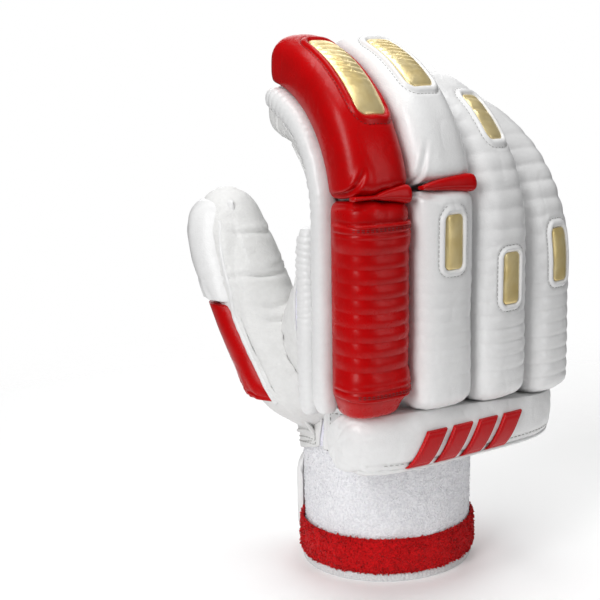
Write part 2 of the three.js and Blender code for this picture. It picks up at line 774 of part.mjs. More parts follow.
// Palm patch and wrist strap
const patchColumn = loft([0, beyond].map((y) => ring(
  new THREE.Vector3(-patchOffset, y, patchMiddle),
  new THREE.Vector3(patchHalfWidth, 0, 0),
  new THREE.Vector3(0, 0, patchHalfHeight),
  2,
  patchFacets,
)));
const patchSkin = handBlock(clearance + patchWall).subtract(handBlock(clearance));
const patch = patchSkin.intersect(patchColumn).subtract(thumbKeep).subtract(below);
add('palm_patch', piecesOf(patch)[0], 'palmLeather');
add('wrist_strap', strapSolid(), 'whiteLeather');

function geometryOf(solid) {
  const mesh = solid.getMesh();
  const geometry = new THREE.BufferGeometry();
  const stride = mesh.numProp;
  const count = mesh.vertProperties.length / stride;
  const position = new Float32Array(count * 3);
  for (let k = 0; k < count; k += 1) {
    position.set(mesh.vertProperties.subarray(k * stride, k * stride + 3), k * 3);
  }
  geometry.setAttribute('position', new THREE.BufferAttribute(position, 3));
  geometry.setIndex(new THREE.BufferAttribute(Uint32Array.from(mesh.triVerts), 1));
  geometry.computeVertexNormals();
  return geometry;
}

const glove = new THREE.Group();
for (const [name, { solid, finish }] of parts) {
  const mesh = new THREE.Mesh(geometryOf(solid), new THREE.MeshStandardMaterial(palette[finish]));
  mesh.name = name;
  glove.add(mesh);
}

// The origin is at the floor, under the middle of the whole glove's footprint.
const footprint = new THREE.Box3().setFromObject(glove);
glove.position.set(
  -(footprint.min.x + footprint.max.x) / 2,
  -(footprint.min.y + footprint.max.y) / 2,
  0,
);

export default glove;
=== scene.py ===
import math

import bpy
import numpy as np
from mathutils import Matrix, Vector
from mathutils.bvhtree import BVHTree


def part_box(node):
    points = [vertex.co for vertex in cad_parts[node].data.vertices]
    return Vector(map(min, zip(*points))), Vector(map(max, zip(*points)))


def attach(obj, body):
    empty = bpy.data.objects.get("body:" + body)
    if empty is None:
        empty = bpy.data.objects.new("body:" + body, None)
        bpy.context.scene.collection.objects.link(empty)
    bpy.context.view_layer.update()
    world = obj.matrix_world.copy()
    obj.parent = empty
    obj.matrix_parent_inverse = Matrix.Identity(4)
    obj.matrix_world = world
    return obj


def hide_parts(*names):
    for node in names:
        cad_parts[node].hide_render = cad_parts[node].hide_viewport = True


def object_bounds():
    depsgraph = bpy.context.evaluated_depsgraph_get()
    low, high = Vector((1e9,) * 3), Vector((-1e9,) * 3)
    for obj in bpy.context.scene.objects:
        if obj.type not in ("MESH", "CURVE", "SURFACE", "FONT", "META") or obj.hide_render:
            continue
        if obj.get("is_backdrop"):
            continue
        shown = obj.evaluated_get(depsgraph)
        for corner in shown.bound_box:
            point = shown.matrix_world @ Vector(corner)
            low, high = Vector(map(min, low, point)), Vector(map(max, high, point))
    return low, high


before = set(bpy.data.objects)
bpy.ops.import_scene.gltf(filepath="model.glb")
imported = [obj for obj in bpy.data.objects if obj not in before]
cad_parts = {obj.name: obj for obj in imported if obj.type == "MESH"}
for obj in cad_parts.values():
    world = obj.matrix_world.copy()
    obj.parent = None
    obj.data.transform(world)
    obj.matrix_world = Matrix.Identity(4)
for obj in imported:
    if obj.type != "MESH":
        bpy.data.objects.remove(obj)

cad_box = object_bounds()

# The camera stands low on the thumb side of the back of the hand. Soft boxes light the glove
# from the left, the right, overhead and behind. The room is dim, so that the gloss stays deep,
# and the camera sees a plain white backdrop.
forward = Vector((0.62988, 0.75067, -0.19937)) - 0.083 * Vector((0.76604, -0.64279, 0))
forward.normalize()
upward = Vector((0.12815, 0.15272, 0.97992))
turned = Matrix((forward.cross(upward), upward, -forward)).transposed()
camera = bpy.data.objects.new("camera", bpy.data.cameras.new("camera"))
camera.matrix_world = Matrix.Translation((-0.4006, -0.5041, 0.2656)) @ turned.to_4x4()
camera.data.lens = 78.8
camera.data.sensor_width = 36
bpy.context.scene.collection.objects.link(camera)
bpy.context.scene.camera = camera
bpy.context.scene.view_settings.view_transform = "Standard"


def soft_box(name, place, width, height, watts):
    """A square lamp turned towards the middle of the glove."""
    lamp = bpy.data.objects.new(name, bpy.data.lights.new(name, "AREA"))
    lamp.data.shape = "RECTANGLE"
    lamp.data.size = width
    lamp.data.size_y = height
    lamp.data.energy = watts
    lamp.location = place
    towards = Vector((0, 0, 0.14)) - Vector(place)
    lamp.rotation_euler = towards.to_track_quat("-Z", "Y").to_euler()
    bpy.context.scene.collection.objects.link(lamp)


soft_box("left_box", (-1.1, -0.45, 0.75), 0.45, 1.1, 12.5)
soft_box("right_box", (0.5, -1.2, 0.5), 0.3, 1.0, 2.6)
soft_box("top_box", (0.0, 0.05, 1.4), 0.9, 0.9, 12)
soft_box("back_box", (0.8, 1.15, 0.8), 1.0, 1.0, 6)

world = bpy.data.worlds.new("studio")
world.use_nodes = True
room = world.node_tree.nodes["Background"]
room.inputs["Strength"].default_value = 0.09
room.inputs["Color"].default_value = (1, 1, 1, 1)
backdrop = world.node_tree.nodes.new("ShaderNodeBackground")
backdrop.inputs["Color"].default_value = (1, 1, 1, 1)
seen = world.node_tree.nodes.new("ShaderNodeLightPath")
either = world.node_tree.nodes.new("ShaderNodeMixShader")
join = world.node_tree.links.new
join(seen.outputs["Is Camera Ray"], either.inputs[0])
join(room.outputs[0], either.inputs[1])
join(backdrop.outputs[0], either.inputs[2])
join(either.outputs[0], world.node_tree.nodes["World Output"].inputs["Surface"])
bpy.context.scene.world = world

# The floor is a sheet of pale paper under the cuff. Away from the glove it fades into the white
# backdrop, so that no edge of it shows.
class Wire:
    """A socket in a finish. Sums and products of wires add the nodes that work them out."""

    def __init__(self, finish, socket):
        self.finish = finish
        self.socket = socket

    def worked(self, operation, other):
        return self.finish.node("ShaderNodeMath", {"operation": operation}, {0: self, 1: other})

    def __add__(self, other):
        return self.worked("ADD", other)

    def __mul__(self, other):
        return self.worked("MULTIPLY", other)


class Finish:
    """A material in the making. node() adds any node and gives its output as a wire."""

    def __init__(self, name):
        self.material = bpy.data.materials.new(name)
        self.material.use_nodes = True
        self.tree = self.material.node_tree
        self.tree.nodes.clear()
        self.spot = self.node("ShaderNodeTexCoord", output="Object")

    def node(self, kind, settings=None, inputs=None, output=0):
        made = self.tree.nodes.new(kind)
        for key, value in (settings or {}).items():
            setattr(made, key, value)
        for key, value in (inputs or {}).items():
            if isinstance(value, Wire):
                self.tree.links.new(value.socket, made.inputs[key])
            else:
                made.inputs[key].default_value = value
        return None if output is None else Wire(self, made.outputs[output])

    def noise(self, scale, detail=3, **more):
        inputs = {"Vector": self.spot, "Scale": scale, "Detail": detail, **more}
        return self.node("ShaderNodeTexNoise", {}, inputs)

    def cells(self, scale):
        return self.node("ShaderNodeTexVoronoi", {}, {"Vector": self.spot, "Scale": scale})

    def between(self, wire, low, high, bottom=0.0, top=1.0):
        ends = {"Value": wire, "From Min": low, "From Max": high, "To Min": bottom, "To Max": top}
        return self.node("ShaderNodeMapRange", {"interpolation_type": "SMOOTHSTEP"}, ends)

    def mixed(self, share, first, second):
        colours = {0: share, 6: (*first, 1), 7: (*second, 1)}
        return self.node("ShaderNodeMix", {"data_type": "RGBA"}, colours, 2)

    def raised(self, height, strength, distance):
        inputs = {"Height": height, "Strength": strength, "Distance": distance}
        return self.node("ShaderNodeBump", {}, inputs)

    def done(self, **inputs):
        named = {key.replace("_", " "): value for key, value in inputs.items()}
        self.surface = self.node("ShaderNodeBsdfPrincipled", {}, named)
        self.node("ShaderNodeOutputMaterial", {}, {"Surface": self.surface}, None)
        return self.material


paper = Finish("pale_floor")
floor_grain = paper.noise(320, 5)
floor_colour = paper.mixed(floor_grain, (0.86, 0.86, 0.86), (0.9, 0.9, 0.9))
paper.done(
    Base_Color=floor_colour, Roughness=0.6, Normal=paper.raised(floor_grain, 0.05, 0.0005),
    Emission_Color=(1, 1, 1, 1), Emission_Strength=0.15,
)
from_middle = paper.node("ShaderNodeVectorMath", {"operation": "LENGTH"}, {0: paper.spot}, 1)
away = paper.between(from_middle, 0.22, 0.55)
clear = paper.node("ShaderNodeBsdfTransparent")
fading = paper.node("ShaderNodeMixShader", {}, {0: away, 1: paper.surface, 2: clear})
paper.tree.links.new(fading.socket, paper.tree.nodes["Material Output"].inputs["Surface"])
sheet = bpy.data.meshes.new("floor")
sheet.from_pydata([(-3, -3, 0), (3, -3, 0), (3, 3, 0), (-3, 3, 0)], [], [(0, 1, 2, 3)])
sheet.materials.append(paper.material)
floor = bpy.data.objects.new("floor", sheet)
bpy.context.scene.collection.objects.link(floor)
floor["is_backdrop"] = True

# The cuff is a tube of white towelling, looped on both faces, with a red towelling band sewn
# round its foot and a white ribbed binding under that. It is all cut and sewn as an oval.
wide, deep, wrist = 44, 41, -2  # half width, half depth and middle in Y, in millimetres
cuff_low, cuff_high = np.array(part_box("cuff"))
origin = (cuff_low + cuff_high) / 2 - [0, wrist / 1000, 0]
origin[2] = 0


def piece(name, shapes, finish, stands_for=()):
    """Makes one object of shapes, each an array of points in millimetres with its faces."""
    points = np.concatenate([np.asarray(p).reshape(-1, 3) for p, _ in shapes]) / 1000 + origin
    faces = []
    start = 0
    for p, f in shapes:
        for block in f if isinstance(f, list) else [f]:
            faces.extend((np.asarray(block) + start).tolist())
        start += len(np.asarray(p).reshape(-1, 3))
    mesh = bpy.data.meshes.new(name)
    mesh.from_pydata(points.tolist(), [], faces)
    mesh.shade_smooth()
    mesh.materials.append(finish)
    made = bpy.data.objects.new("sewn_" + name if stands_for else name, mesh)
    bpy.context.scene.collection.objects.link(made)
    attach(made, "root")
    if stands_for:
        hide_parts(*stands_for)
    return made


def skin(grid, around=True, ends=True):
    """A grid of points as a shape, closed round its second way and fanned shut at its ends."""
    rows, count = grid.shape[:2]
    number = np.arange(rows * count).reshape(rows, count)
    right = np.roll(number, -1, 1) if around else number[:, 1:]
    left = number if around else number[:, :-1]
    quads = np.stack([left[:-1], right[:-1], right[1:], left[1:]], -1).reshape(-1, 4)
    points = grid.reshape(-1, 3)
    if not ends:
        return points, [quads]
    hubs = np.array([grid[0].mean(0), grid[-1].mean(0)])
    first = np.stack([np.full(count, rows * count), np.roll(number[0], -1), number[0]], -1)
    last = np.stack([np.full(count, rows * count + 1), number[-1], np.roll(number[-1], -1)], -1)
    return np.concatenate([points, hubs]), [quads, first, last]


def outward(grid, around=True):
    """Unit normals of a grid, pointing away from the middle of each of its rows."""
    along = np.gradient(grid, axis=0)
    about = np.roll(grid, -1, 1) - np.roll(grid, 1, 1) if around else np.gradient(grid, axis=1)
    normal = np.cross(about, along)
    normal /= np.linalg.norm(normal, axis=-1, keepdims=True) + 1e-9
    if ((grid - grid.mean(1, keepdims=True)) * normal).sum() < 0:
        normal = -normal
    return normal


def swell(points, size, seed):
    """Smooth noise from -1 to 1 at points in millimetres, in lumps of the given size."""
    place = np.asarray(points) / size
    cell = np.floor(place).astype(np.int64)
    part = place - cell
    part = part * part * (3 - 2 * part)
    total = 0
    for corner in range(8):
        step = np.array([corner >> 2 & 1, corner >> 1 & 1, corner & 1])
        key = ((cell + step) @ np.array([73856093, 19349663, 83492791]) + seed * 7919) & 0xFFFFFFFF
        key = ((key ^ (key >> 15)) * 739982445) & 0xFFFFFFFF
        key = ((key ^ (key >> 12)) * 695872825) & 0xFFFFFFFF
        value = (key ^ (key >> 15)) / 0x7FFFFFFF - 1
        total = total + value * np.prod(np.where(step, part, 1 - part), -1)
    return total


def circle(count):
    """Evenly spaced angles all the way round."""
    return np.linspace(0, 2 * np.pi, count, endpoint=False)


def round_cuff(turn, out, z):
    """Points round the cuff at the given turns and heights, standing out from its face."""
    x = (wide + out) * np.cos(turn)
    y = wrist + (deep + out) * np.sin(turn)
    return np.stack(np.broadcast_arrays(x, y, z), -1)


def loops(grid, number, length, breadth, seed):
    """Short curled loops of yarn standing on a grid of points."""
    chance = np.random.default_rng(seed)
    normals = outward(grid)
    rows, count = grid.shape[:2]
    i = chance.integers(0, rows - 1, number)
    j = chance.integers(0, count, number)
    u, v = chance.random((2, number, 1))
    right = (j + 1) % count
    base = grid[i, j] * (1 - u) * (1 - v) + grid[i + 1, j] * u * (1 - v)
    base = base + grid[i, right] * (1 - u) * v + grid[i + 1, right] * u * v
    lean = normals[i, j] + 0.6 * chance.normal(size=(number, 3))
    lean /= np.linalg.norm(lean, axis=1, keepdims=True)
    side = np.cross(lean, chance.normal(size=(number, 3)))
    side *= breadth / 2 / np.linalg.norm(side, axis=1, keepdims=True)
    bend = np.cross(lean, side) * 1.2
    tall = length * (0.6 + 0.8 * chance.random((number, 1)))
    foot = base - normals[i, j] * 0.2
    crown = foot + lean * tall * 0.7 + bend
    tip = foot + lean * tall * 0.8 + bend * 2.4 - normals[i, j] * 0.3
    thin = side * 0.6
    points = [foot - side, foot + side, crown + side, crown - side, tip + thin, tip - thin]
    points = np.stack(points, 1)
    first = np.arange(number)[:, None] * 6
    return points.reshape(-1, 3), [np.concatenate([first + [0, 1, 2, 3], first + [3, 2, 4, 5]])]


def towelling(name, colour, gap_shade_and_tone_colour, depth):
    """Looped yarn, darker between its clumps with painted shade, and with a broad random change of tone."""
    yarn = Finish(name)
    clumps = yarn.between(yarn.noise(900, 2), 0.35, 0.62)
    broad = yarn.between(yarn.noise(70, 3), 0.3, 0.7)
    # The second colour is painted shade between the clumps, and also the dark end of a broad random change
    # of tone.
    tone = yarn.mixed(clumps * 0.75 + broad * 0.25, gap_shade_and_tone_colour, colour)
    rough = yarn.raised(clumps + yarn.cells(1400), depth, 0.0006)
    return yarn.done(
        Base_Color=tone, Roughness=0.95, Normal=rough, Sheen_Weight=0.08, Specular_IOR_Level=0.15,
    )


# The second colour of each towelling is painted shade for the gaps between its clumps.
white_yarn = towelling("white_towelling", (0.92, 0.92, 0.945), (0.78, 0.78, 0.815), 0.5)
red_yarn = towelling("red_towelling", (0.66, 0.005, 0.008), (0.46, 0.003, 0.005), 0.5)


def tube_wall(profile, count):
    """A closed wall round the cuff from a profile of (out, height) pairs."""
    return np.stack([round_cuff(circle(count), out, height) for out, height in profile])


face_rows = 90
cuff_face = [(0, z) for z in np.linspace(4.6, 84, face_rows)]
cuff_inside = [(-0.8, 84.4), (-2, 84), (-2.4, 60), (-2.4, 30), (-2.4, 5)]
cuff_wall = tube_wall(cuff_face + cuff_inside, 300)
lumps = 0.34 * swell(cuff_wall, 2.2, 1) + 0.35 * swell(cuff_wall, 11, 2) + 0.5 * swell(cuff_wall, 34, 3)
cuff_wall[:face_rows] += (outward(cuff_wall) * (lumps[..., None] - 0.5))[:face_rows]
cuff_loops = loops(cuff_wall[:face_rows], 12000, 0.75, 0.5, 5)
piece("cuff", [skin(cuff_wall, ends=False), cuff_loops], white_yarn, ["cuff"])

band_count = 600
band_angles = np.linspace(0, np.pi, 44)
band_profile = [(0.2 + 1.9 * np.sin(a) ** 0.45, 13.3 - 8.9 * np.cos(a)) for a in band_angles]
band_wall = tube_wall(band_profile + [(0.25, 18), (0.25, 9)], band_count)
chevron = np.abs(np.arange(band_count) / 4 % 2 - 1) * 0.8
knit_rows = np.abs(np.cos(np.pi * (band_wall[..., 2] / 1.75 + chevron))) ** 0.7 - 0.75
band_lumps = 0.55 * knit_rows + 0.2 * swell(band_wall, 2.2, 7) + 0.2 * swell(band_wall, 9, 8)
band_wall += outward(band_wall) * (band_lumps - 0.1)[..., None]
band_loops = loops(band_wall[1:43], 5500, 1.25, 0.65, 9)
piece("cuff_band", [skin(band_wall, ends=False), band_loops], red_yarn, ["cuff_band"])

ribbing = Finish("ribbed_binding")
knit = ribbing.between(ribbing.noise(1500, 2), 0.3, 0.7)
ribbing_finish = ribbing.done(
    Base_Color=ribbing.mixed(knit, (0.6, 0.6, 0.61), (0.78, 0.78, 0.78)),
    Roughness=0.85, Normal=ribbing.raised(knit, 0.4, 0.0004),
)
hem_count = 480
hem_angles = np.linspace(0, np.pi, 14)
hem_profile = [(0.7 * np.sin(a) ** 0.5, 2.1 - 2.1 * np.cos(a)) for a in hem_angles]
hem_wall = tube_wall(hem_profile + [(-2.2, 4.2), (-2.4, 2), (-2.2, 0)], hem_count)
hem_ribs = 1 + 0.004 * np.sin(np.arange(hem_count) * np.pi / 2) * np.sin(hem_angles)[:, None]
hem_wall[:14, :, :2] *= hem_ribs[..., None]
hem_wall[..., 2] = np.maximum(hem_wall[..., 2], 0)
piece("cuff_hem", [skin(hem_wall, ends=False)], ribbing_finish, ["cuff_hem"])

# Each finger carries padded rolls of foam and fibre in a smooth coated cover, sewn down along
# both sides. Heat-pressed ribs cross them, tucks gather them at the knuckle split, and the
# gold bars lie in pockets with raised, stitched rims.
finger_wide = 33.4


class Finger:
    """Where a finger runs: straight up the hand and then over the bend of the knuckles."""

    def __init__(self, place, yaw, bottom, split, knuckle, bend, arc, width):
        off = (place - 1.5) / 1.5
        yaw = math.radians(yaw)
        self.foot = np.array([(place - 1.5) * 34, -48.5 + 4.5 * off * off, 95 * bottom])
        self.across = np.array([math.cos(yaw), math.sin(yaw), 0])
        self.back = np.array([math.sin(yaw), -math.cos(yaw), 0])
        self.radius = 58 * bend
        self.straight = 186 * knuckle - self.foot[2]
        self.total = self.straight + self.radius * math.radians(arc)
        self.split = 98 * split
        self.half = finger_wide * width / 2

    def at(self, s, l, d):
        """Points a way s along the finger, l across it and d out from its back."""
        s, l, d = (np.asarray(v, float)[..., None] for v in np.broadcast_arrays(s, l, d))
        turn = np.maximum(s - self.straight, 0) / self.radius
        up = np.minimum(s, self.straight) + (self.radius + d) * np.sin(turn)
        out = (self.radius + d) * np.cos(turn) - self.radius
        return self.foot + l * self.across + out * self.back + up * np.array([0, 0, 1.0])

    def find(self, points):
        """The s, l and d of points."""
        gone = points - self.foot
        out = gone @ self.back
        up = gone[..., 2]
        turn = np.arctan2(np.maximum(up - self.straight, 0), out + self.radius)
        bent = up > self.straight
        s = np.where(bent, self.straight + self.radius * turn, up)
        d = np.where(bent, np.hypot(out + self.radius, up - self.straight) - self.radius, out)
        return s, gone @ self.across, d


fingers = {
    "index": Finger(0, yaw=-3, bottom=1, split=1, knuckle=1, bend=1, arc=86, width=1),
    "middle": Finger(1, yaw=0, bottom=0.99, split=1.03, knuckle=1, bend=1, arc=86, width=1),
    "ring": Finger(2, yaw=3, bottom=0.97, split=1, knuckle=0.925, bend=0.99, arc=84, width=1),
    "little": Finger(3, yaw=7, bottom=0.94, split=1, knuckle=0.83, bend=1.06, arc=80, width=0.93),
}
roll_tall = 24


def smoothly(value, low, high):
    """A soft step from nought at low to one at high."""
    share = np.clip((value - low) / (high - low), 0, 1)
    return share * share * (3 - 2 * share)


def ridge(gone, breadth):
    """A rounded ridge, one high, a distance gone from its crest."""
    return np.exp(-(gone / breadth) ** 2)


def spread(count):
    """Places from -1 to 1 that lie closer together towards both ends."""
    return np.sin(np.linspace(-np.pi / 2, np.pi / 2, count))


def leather(name, colour, shade, roughness, coat, grain=0.16, pore=1100, sheen=0.42):
    """A hide or coated cover: pebbled grain, drawn creases and a slow change of tone."""
    hide = Finish(name)
    blotch = hide.between(hide.noise(38, 4), 0.32, 0.68)
    fleck = hide.between(hide.noise(420, 3), 0.3, 0.7)
    pebbles = hide.cells(pore)
    creases = hide.between(hide.noise(150, 5, Distortion=1.4), 0.47, 0.53)
    height = pebbles * 0.6 + hide.noise(2400, 2) * 0.5 + creases * 0.25
    tone = hide.mixed(blotch * 0.6 + fleck * 0.4, shade, colour)
    dull = hide.between(fleck * 0.5 + blotch * 0.5, 0, 1, roughness + 0.06, roughness - 0.05)
    return hide.done(
        Base_Color=tone, Roughness=dull, Normal=hide.raised(height, grain, 0.0006),
        Coat_Weight=coat, Coat_Roughness=0.22, Specular_IOR_Level=sheen,
    )


red_leather = leather(
    "red_coated_leather", (0.49, 0.001, 0.002), (0.41, 0.0005, 0.001), 0.31, 0.08, 0.1, sheen=0.15,
)
white_leather = leather("white_coated_leather", (0.82, 0.82, 0.82), (0.77, 0.77, 0.77), 0.36, 0.2)

# Each roll's finger and part of it, then its ribs: how deep, and between which heights above the
# foot. Collars are the ribbed panel's stitched edges, given by how far they lie from the ends.
rolls = {
    name: dict(finger=finger, part=part, ribs=ribs, rib_from=low, rib_to=high, collars=collars, seed=seed)
    for name, finger, part, ribs, low, high, collars, seed in (
        ("index_lower_roll", "index", "below", 0.95, 18, 83, (11, 9.5), 11),
        ("index_upper_roll", "index", "above", 0, 0, 0, (), 12),
        ("middle_lower_roll", "middle", "below", 0.5, 16, 66, (), 13),
        ("middle_upper_roll", "middle", "above", 0, 0, 0, (), 14),
        ("ring_roll", "ring", "whole", 0.8, 12, 138, (), 15),
        ("little_roll", "little", "whole", 0.85, 10, 120, (), 16),
    )
}
# Pinched folds: the distance above the split, or below it, and the place across, at both ends.
folds = {
    "index_upper_roll": [(1, -15.5, 9, -8.5, 2.0, 1.0), (0.5, 12, 5, 3, 0.5, 1.2)],
    "middle_upper_roll": [(1.5, -16, 16, -9, 1.2, 1.0), (3, 14.5, 10, 14, 0.6, 0.7)],
    "index_lower_roll": [(-2.5, -15.5, -3.5, -6, 0.7, 0.8)],
    "middle_lower_roll": [(-2, -15.5, -5.5, -3, 0.9, 0.9), (-3, 15, -10, 13, 0.4, 0.9)],
}
# Where each knuckle strip starts to thicken, and where it ends.
inserts = {"index": (-3.4, 14.7), "middle": (-15, 15.4)}
# Each gold bar's roll, the shares of the finger's length where it starts and ends, its place
# across in finger widths, its own width and the number of folds in it.
gold_bars = {
    name: dict(roll=roll, start=start, end=end, side=side, width=width, folds=folds)
    for name, roll, start, end, side, width, folds in (
        ("index_gold_bar", "index_upper_roll", 0.7, 0.92, 0.1, 17, 7),
        ("middle_gold_bar_upper", "middle_upper_roll", 0.76, 0.92, 0.03, 15.3, 6),
        ("middle_gold_bar_lower", "middle_lower_roll", 0.37, 0.51, 0, 10.2, 0),
        ("ring_gold_bar_upper", "ring_roll", 0.69, 0.81, 0.12, 10.5, 2),
        ("ring_gold_bar_lower", "ring_roll", 0.29, 0.44, 0.02, 10.5, 0),
        ("little_gold_bar", "little_roll", 0.375, 0.515, 0.06, 10.2, 0),
    )
}
bar_corner = 0.48  # how far a gold bar's corners are rounded, as a share of its half width


def span(row):
    """How far along its finger a roll starts and ends."""
    finger = fingers[row["finger"]]
    start = finger.split + 0.5 if row["part"] == "above" else 0
    return start, finger.split - 0.5 if row["part"] == "below" else finger.total


def girth(row, s):
    """Half width and depth of a roll, square at the split, round elsewhere and slim at the tip."""
    finger = fingers[row["finger"]]
    start, end = span(row)
    round_off = 1
    for gone, at_split in ((s - start, row["part"] == "above"), (end - s, row["part"] == "below")):
        reach, least = (5.5, 0.7) if at_split or row["collars"] else (9, 0.5)
        edge = np.clip(gone / reach, 0, 1)
        round_off = np.minimum(round_off, least + (1 - least) * (1 - (1 - edge) ** 2.4) ** 0.5)
    if row["collars"]:
        round_off = round_off * (1 - 0.18 * (1 - smoothly(s, start + 3, start + 12)))
    tip = np.clip((s - finger.straight) / (finger.total - finger.straight), 0, 1)
    return finger.half * round_off * (1 - 0.13 * tip * tip), roll_tall * round_off * (1 - 0.06 * tip)


def crown(row, s, l):
    """How high the top of a roll stands at a place along and across it."""
    width, depth = girth(row, s)
    side = np.minimum(np.abs(l) / width, 1) ** (2 / 0.7)
    return 0.3 + (depth - 0.3) / 2 * (1 + (1 - side) ** 0.42)


def pocket(bar, s, l):
    """Distance from a gold bar's outline, below nought inside it."""
    total = fingers[rolls[bar["roll"]]["finger"]].total
    half_long = (bar["end"] - bar["start"]) / 2 * total
    half_wide = bar["width"] / 2
    corner = bar_corner * half_wide
    a = np.abs(s - (bar["start"] + bar["end"]) / 2 * total) - half_long + corner
    b = np.abs(l - bar["side"] * finger_wide) - half_wide + corner
    beyond = np.hypot(np.maximum(a, 0), np.maximum(b, 0))
    return beyond + np.minimum(np.maximum(a, b), 0) - corner


def tuck(s, l, start, end, depth, width):
    """A crease from one (s, l) place to another that dies away at its far end."""
    ds, dl = end[0] - start[0], end[1] - start[1]
    share = np.clip(((s - start[0]) * ds + (l - start[1]) * dl) / (ds * ds + dl * dl), 0, 1)
    gone = np.hypot(s - start[0] - share * ds, l - start[1] - share * dl)
    section = 0.35 * ridge(gone - 1.9 * width, width) - ridge(gone, width)
    return depth * section * (1 - share) ** 0.7


rib_pitch = 6.6


def relief(name, row, s, l, points):
    """How far the cover of a roll stands out or is drawn in, in millimetres."""
    start, end = span(row)
    seed = row["seed"]
    loose = 0.4 if row["collars"] else 1
    height = 0.45 * swell(points, 23, seed) + loose * 0.12 * swell(points, 8, seed + 40)
    height -= loose * 0.1 * ridge(swell(points * [1, 1, 0.7], 11, seed + 80), 0.1)
    near = [pocket(bar, s, l) for bar in gold_bars.values() if bar["roll"] == name]
    clear = np.prod([smoothly(d, 3.6, 7.5) for d in near], 0) if near else 1
    if row["ribs"]:
        low, high = row["rib_from"], row["rib_to"]
        on = smoothly(s, low - 3, low) * (1 - smoothly(s, high, high + 3))
        across = np.clip(np.abs(l) / girth(row, s)[0], 0, 1)
        bow = 0.5 * np.cos(across * 2) + (0.2 + 0.2 * loose) * (swell(points, 22, seed + 5) - 0.5)
        strong = 0.85 + 0.3 * loose * swell(points, 26, seed + 6) - 0.35 * smoothly(s, 92, 116)
        strong = strong * (1 - 0.7 * smoothly(across, 0.6, 0.98))
        rib = np.abs(np.cos(np.pi * (s + bow - start) / rib_pitch)) ** 0.85 - 0.7
        height += on * clear * strong * row["ribs"] * rib
    for d in near:
        height += 0.8 * ridge(d - 1.6, 1.2) - 0.65 * ridge(d - 3.3, 0.5)
        height -= 1.7 * (1 - smoothly(d, -0.5, 0.5))
    for gone, collar in zip((s - start, end - s), row["collars"]):
        height += 1.3 * smoothly(gone, collar - 0.7, collar + 0.4)
        height -= 1.3 * smoothly(gone, collar + 4, collar + 14)
        height -= 0.5 * ridge(gone - collar + 1.3, 0.8)
        height -= 0.6 * ridge(gone - collar - 3.2, 0.55)
    if row["part"] != "above" and not row["collars"]:
        pucker = np.abs(np.cos(l * 0.7 + 1.6 * swell(points, 7, seed + 21))) ** 0.6 - 0.6
        height += 0.7 * np.exp(-(s - start) / 4) * pucker
    split = fingers[row["finger"]].split
    for low, from_l, high, to_l, depth, breadth in folds.get(name, []):
        height += tuck(s, l, (split + low, from_l), (split + high, to_l), depth, breadth)
    if row["finger"] in inserts:
        from_l = inserts[row["finger"]][0]
        height -= 1.4 * ridge(s - split, 3.2) * smoothly(l, from_l - 2, from_l + 5)
    return height


def roll_grid(row):
    """Stations along a roll, and its section: a round crown that comes in to a flat foot."""
    start, end = span(row)
    ends = 9 * (1 - np.cos(np.linspace(0, np.pi / 2, 16)))[:-1]
    run = np.arange(start + 9, end - 9, 0.42 if row["collars"] else 0.68)
    s = np.concatenate([start + ends, run, (end - ends)[::-1]])[:, None]
    width, depth = girth(row, s)
    share = spread(86)[None]
    low = np.linspace(0, np.pi / 2, 11)[1:][None]
    half = (depth - 0.3) / 2
    under_l = 0.8 + 0.2 * np.cos(low)
    under_d = 0.3 + half * (1 - np.sin(low))
    l = np.concatenate([width * share, width * under_l, -(width * under_l)[:, ::-1]], 1)
    top = 0.3 + half * (1 + (1 - np.abs(share) ** (2 / 0.7)) ** 0.42)
    d = np.concatenate([top, under_d, under_d[:, ::-1]], 1)
    return np.broadcast_to(s, l.shape), l, d


def cover(name, row):
    """The whole cover of a roll, with its relief."""
    s, l, d = roll_grid(row)
    points = fingers[row["finger"]].at(s, l, d)
    fade = smoothly(d, 1, 9)[..., None]
    return points + outward(points) * relief(name, row, s, l, points)[..., None] * fade


def on_roll(name, s, l, lift=0.0):
    """Points on the finished cover of a roll."""
    row = rolls[name]
    finger = fingers[row["finger"]]
    top = crown(row, s, l)
    raised = relief(name, row, np.asarray(s), np.asarray(l), finger.at(s, l, top))
    return finger.at(s, l, top + raised + lift)


def resampled(path, pitch, closed=False):
    """A path as evenly spaced points."""
    if closed:
        path = np.concatenate([path, path[:1]])
    run = np.concatenate([[0], np.cumsum(np.linalg.norm(np.diff(path, axis=0), axis=1))])
    at = np.arange(pitch / 2, run[-1], pitch)
    return np.stack([np.interp(at, run, path[:, k]) for k in range(3)], -1)


def stitches(path, pitch=2.7, length=1.9, thick=0.3, closed=False):
    """Stitches of thread laid end to end along a path, each a small grain-shaped form."""
    middle = resampled(path, pitch, closed)
    if len(middle) < 2:
        return np.zeros((0, 3)), [np.zeros((0, 4), int)]
    way = np.gradient(middle, axis=0)
    way /= np.linalg.norm(way, axis=1, keepdims=True) + 1e-9
    side = np.cross(way, [0.3, 0.5, 0.81])
    side /= np.linalg.norm(side, axis=1, keepdims=True) + 1e-9
    over = np.cross(way, side)
    rings = []
    for share, size in ((-0.5, 0.25), (-0.3, 0.9), (0.3, 0.9), (0.5, 0.25)):
        for a in np.arange(5) * 2 * np.pi / 5:
            turned = side * np.cos(a) + over * np.sin(a)
            rings.append(middle + way * share * length + thick * size * turned)
    points = np.stack(rings, 1)
    faces = []
    for j in range(0, 15, 5):
        faces += [[j + k, j + (k + 1) % 5, j + 5 + (k + 1) % 5, j + 5 + k] for k in range(5)]
    start = np.arange(len(middle))[:, None, None] * 20
    return points.reshape(-1, 3), [(start + np.array(faces)).reshape(-1, 4)]


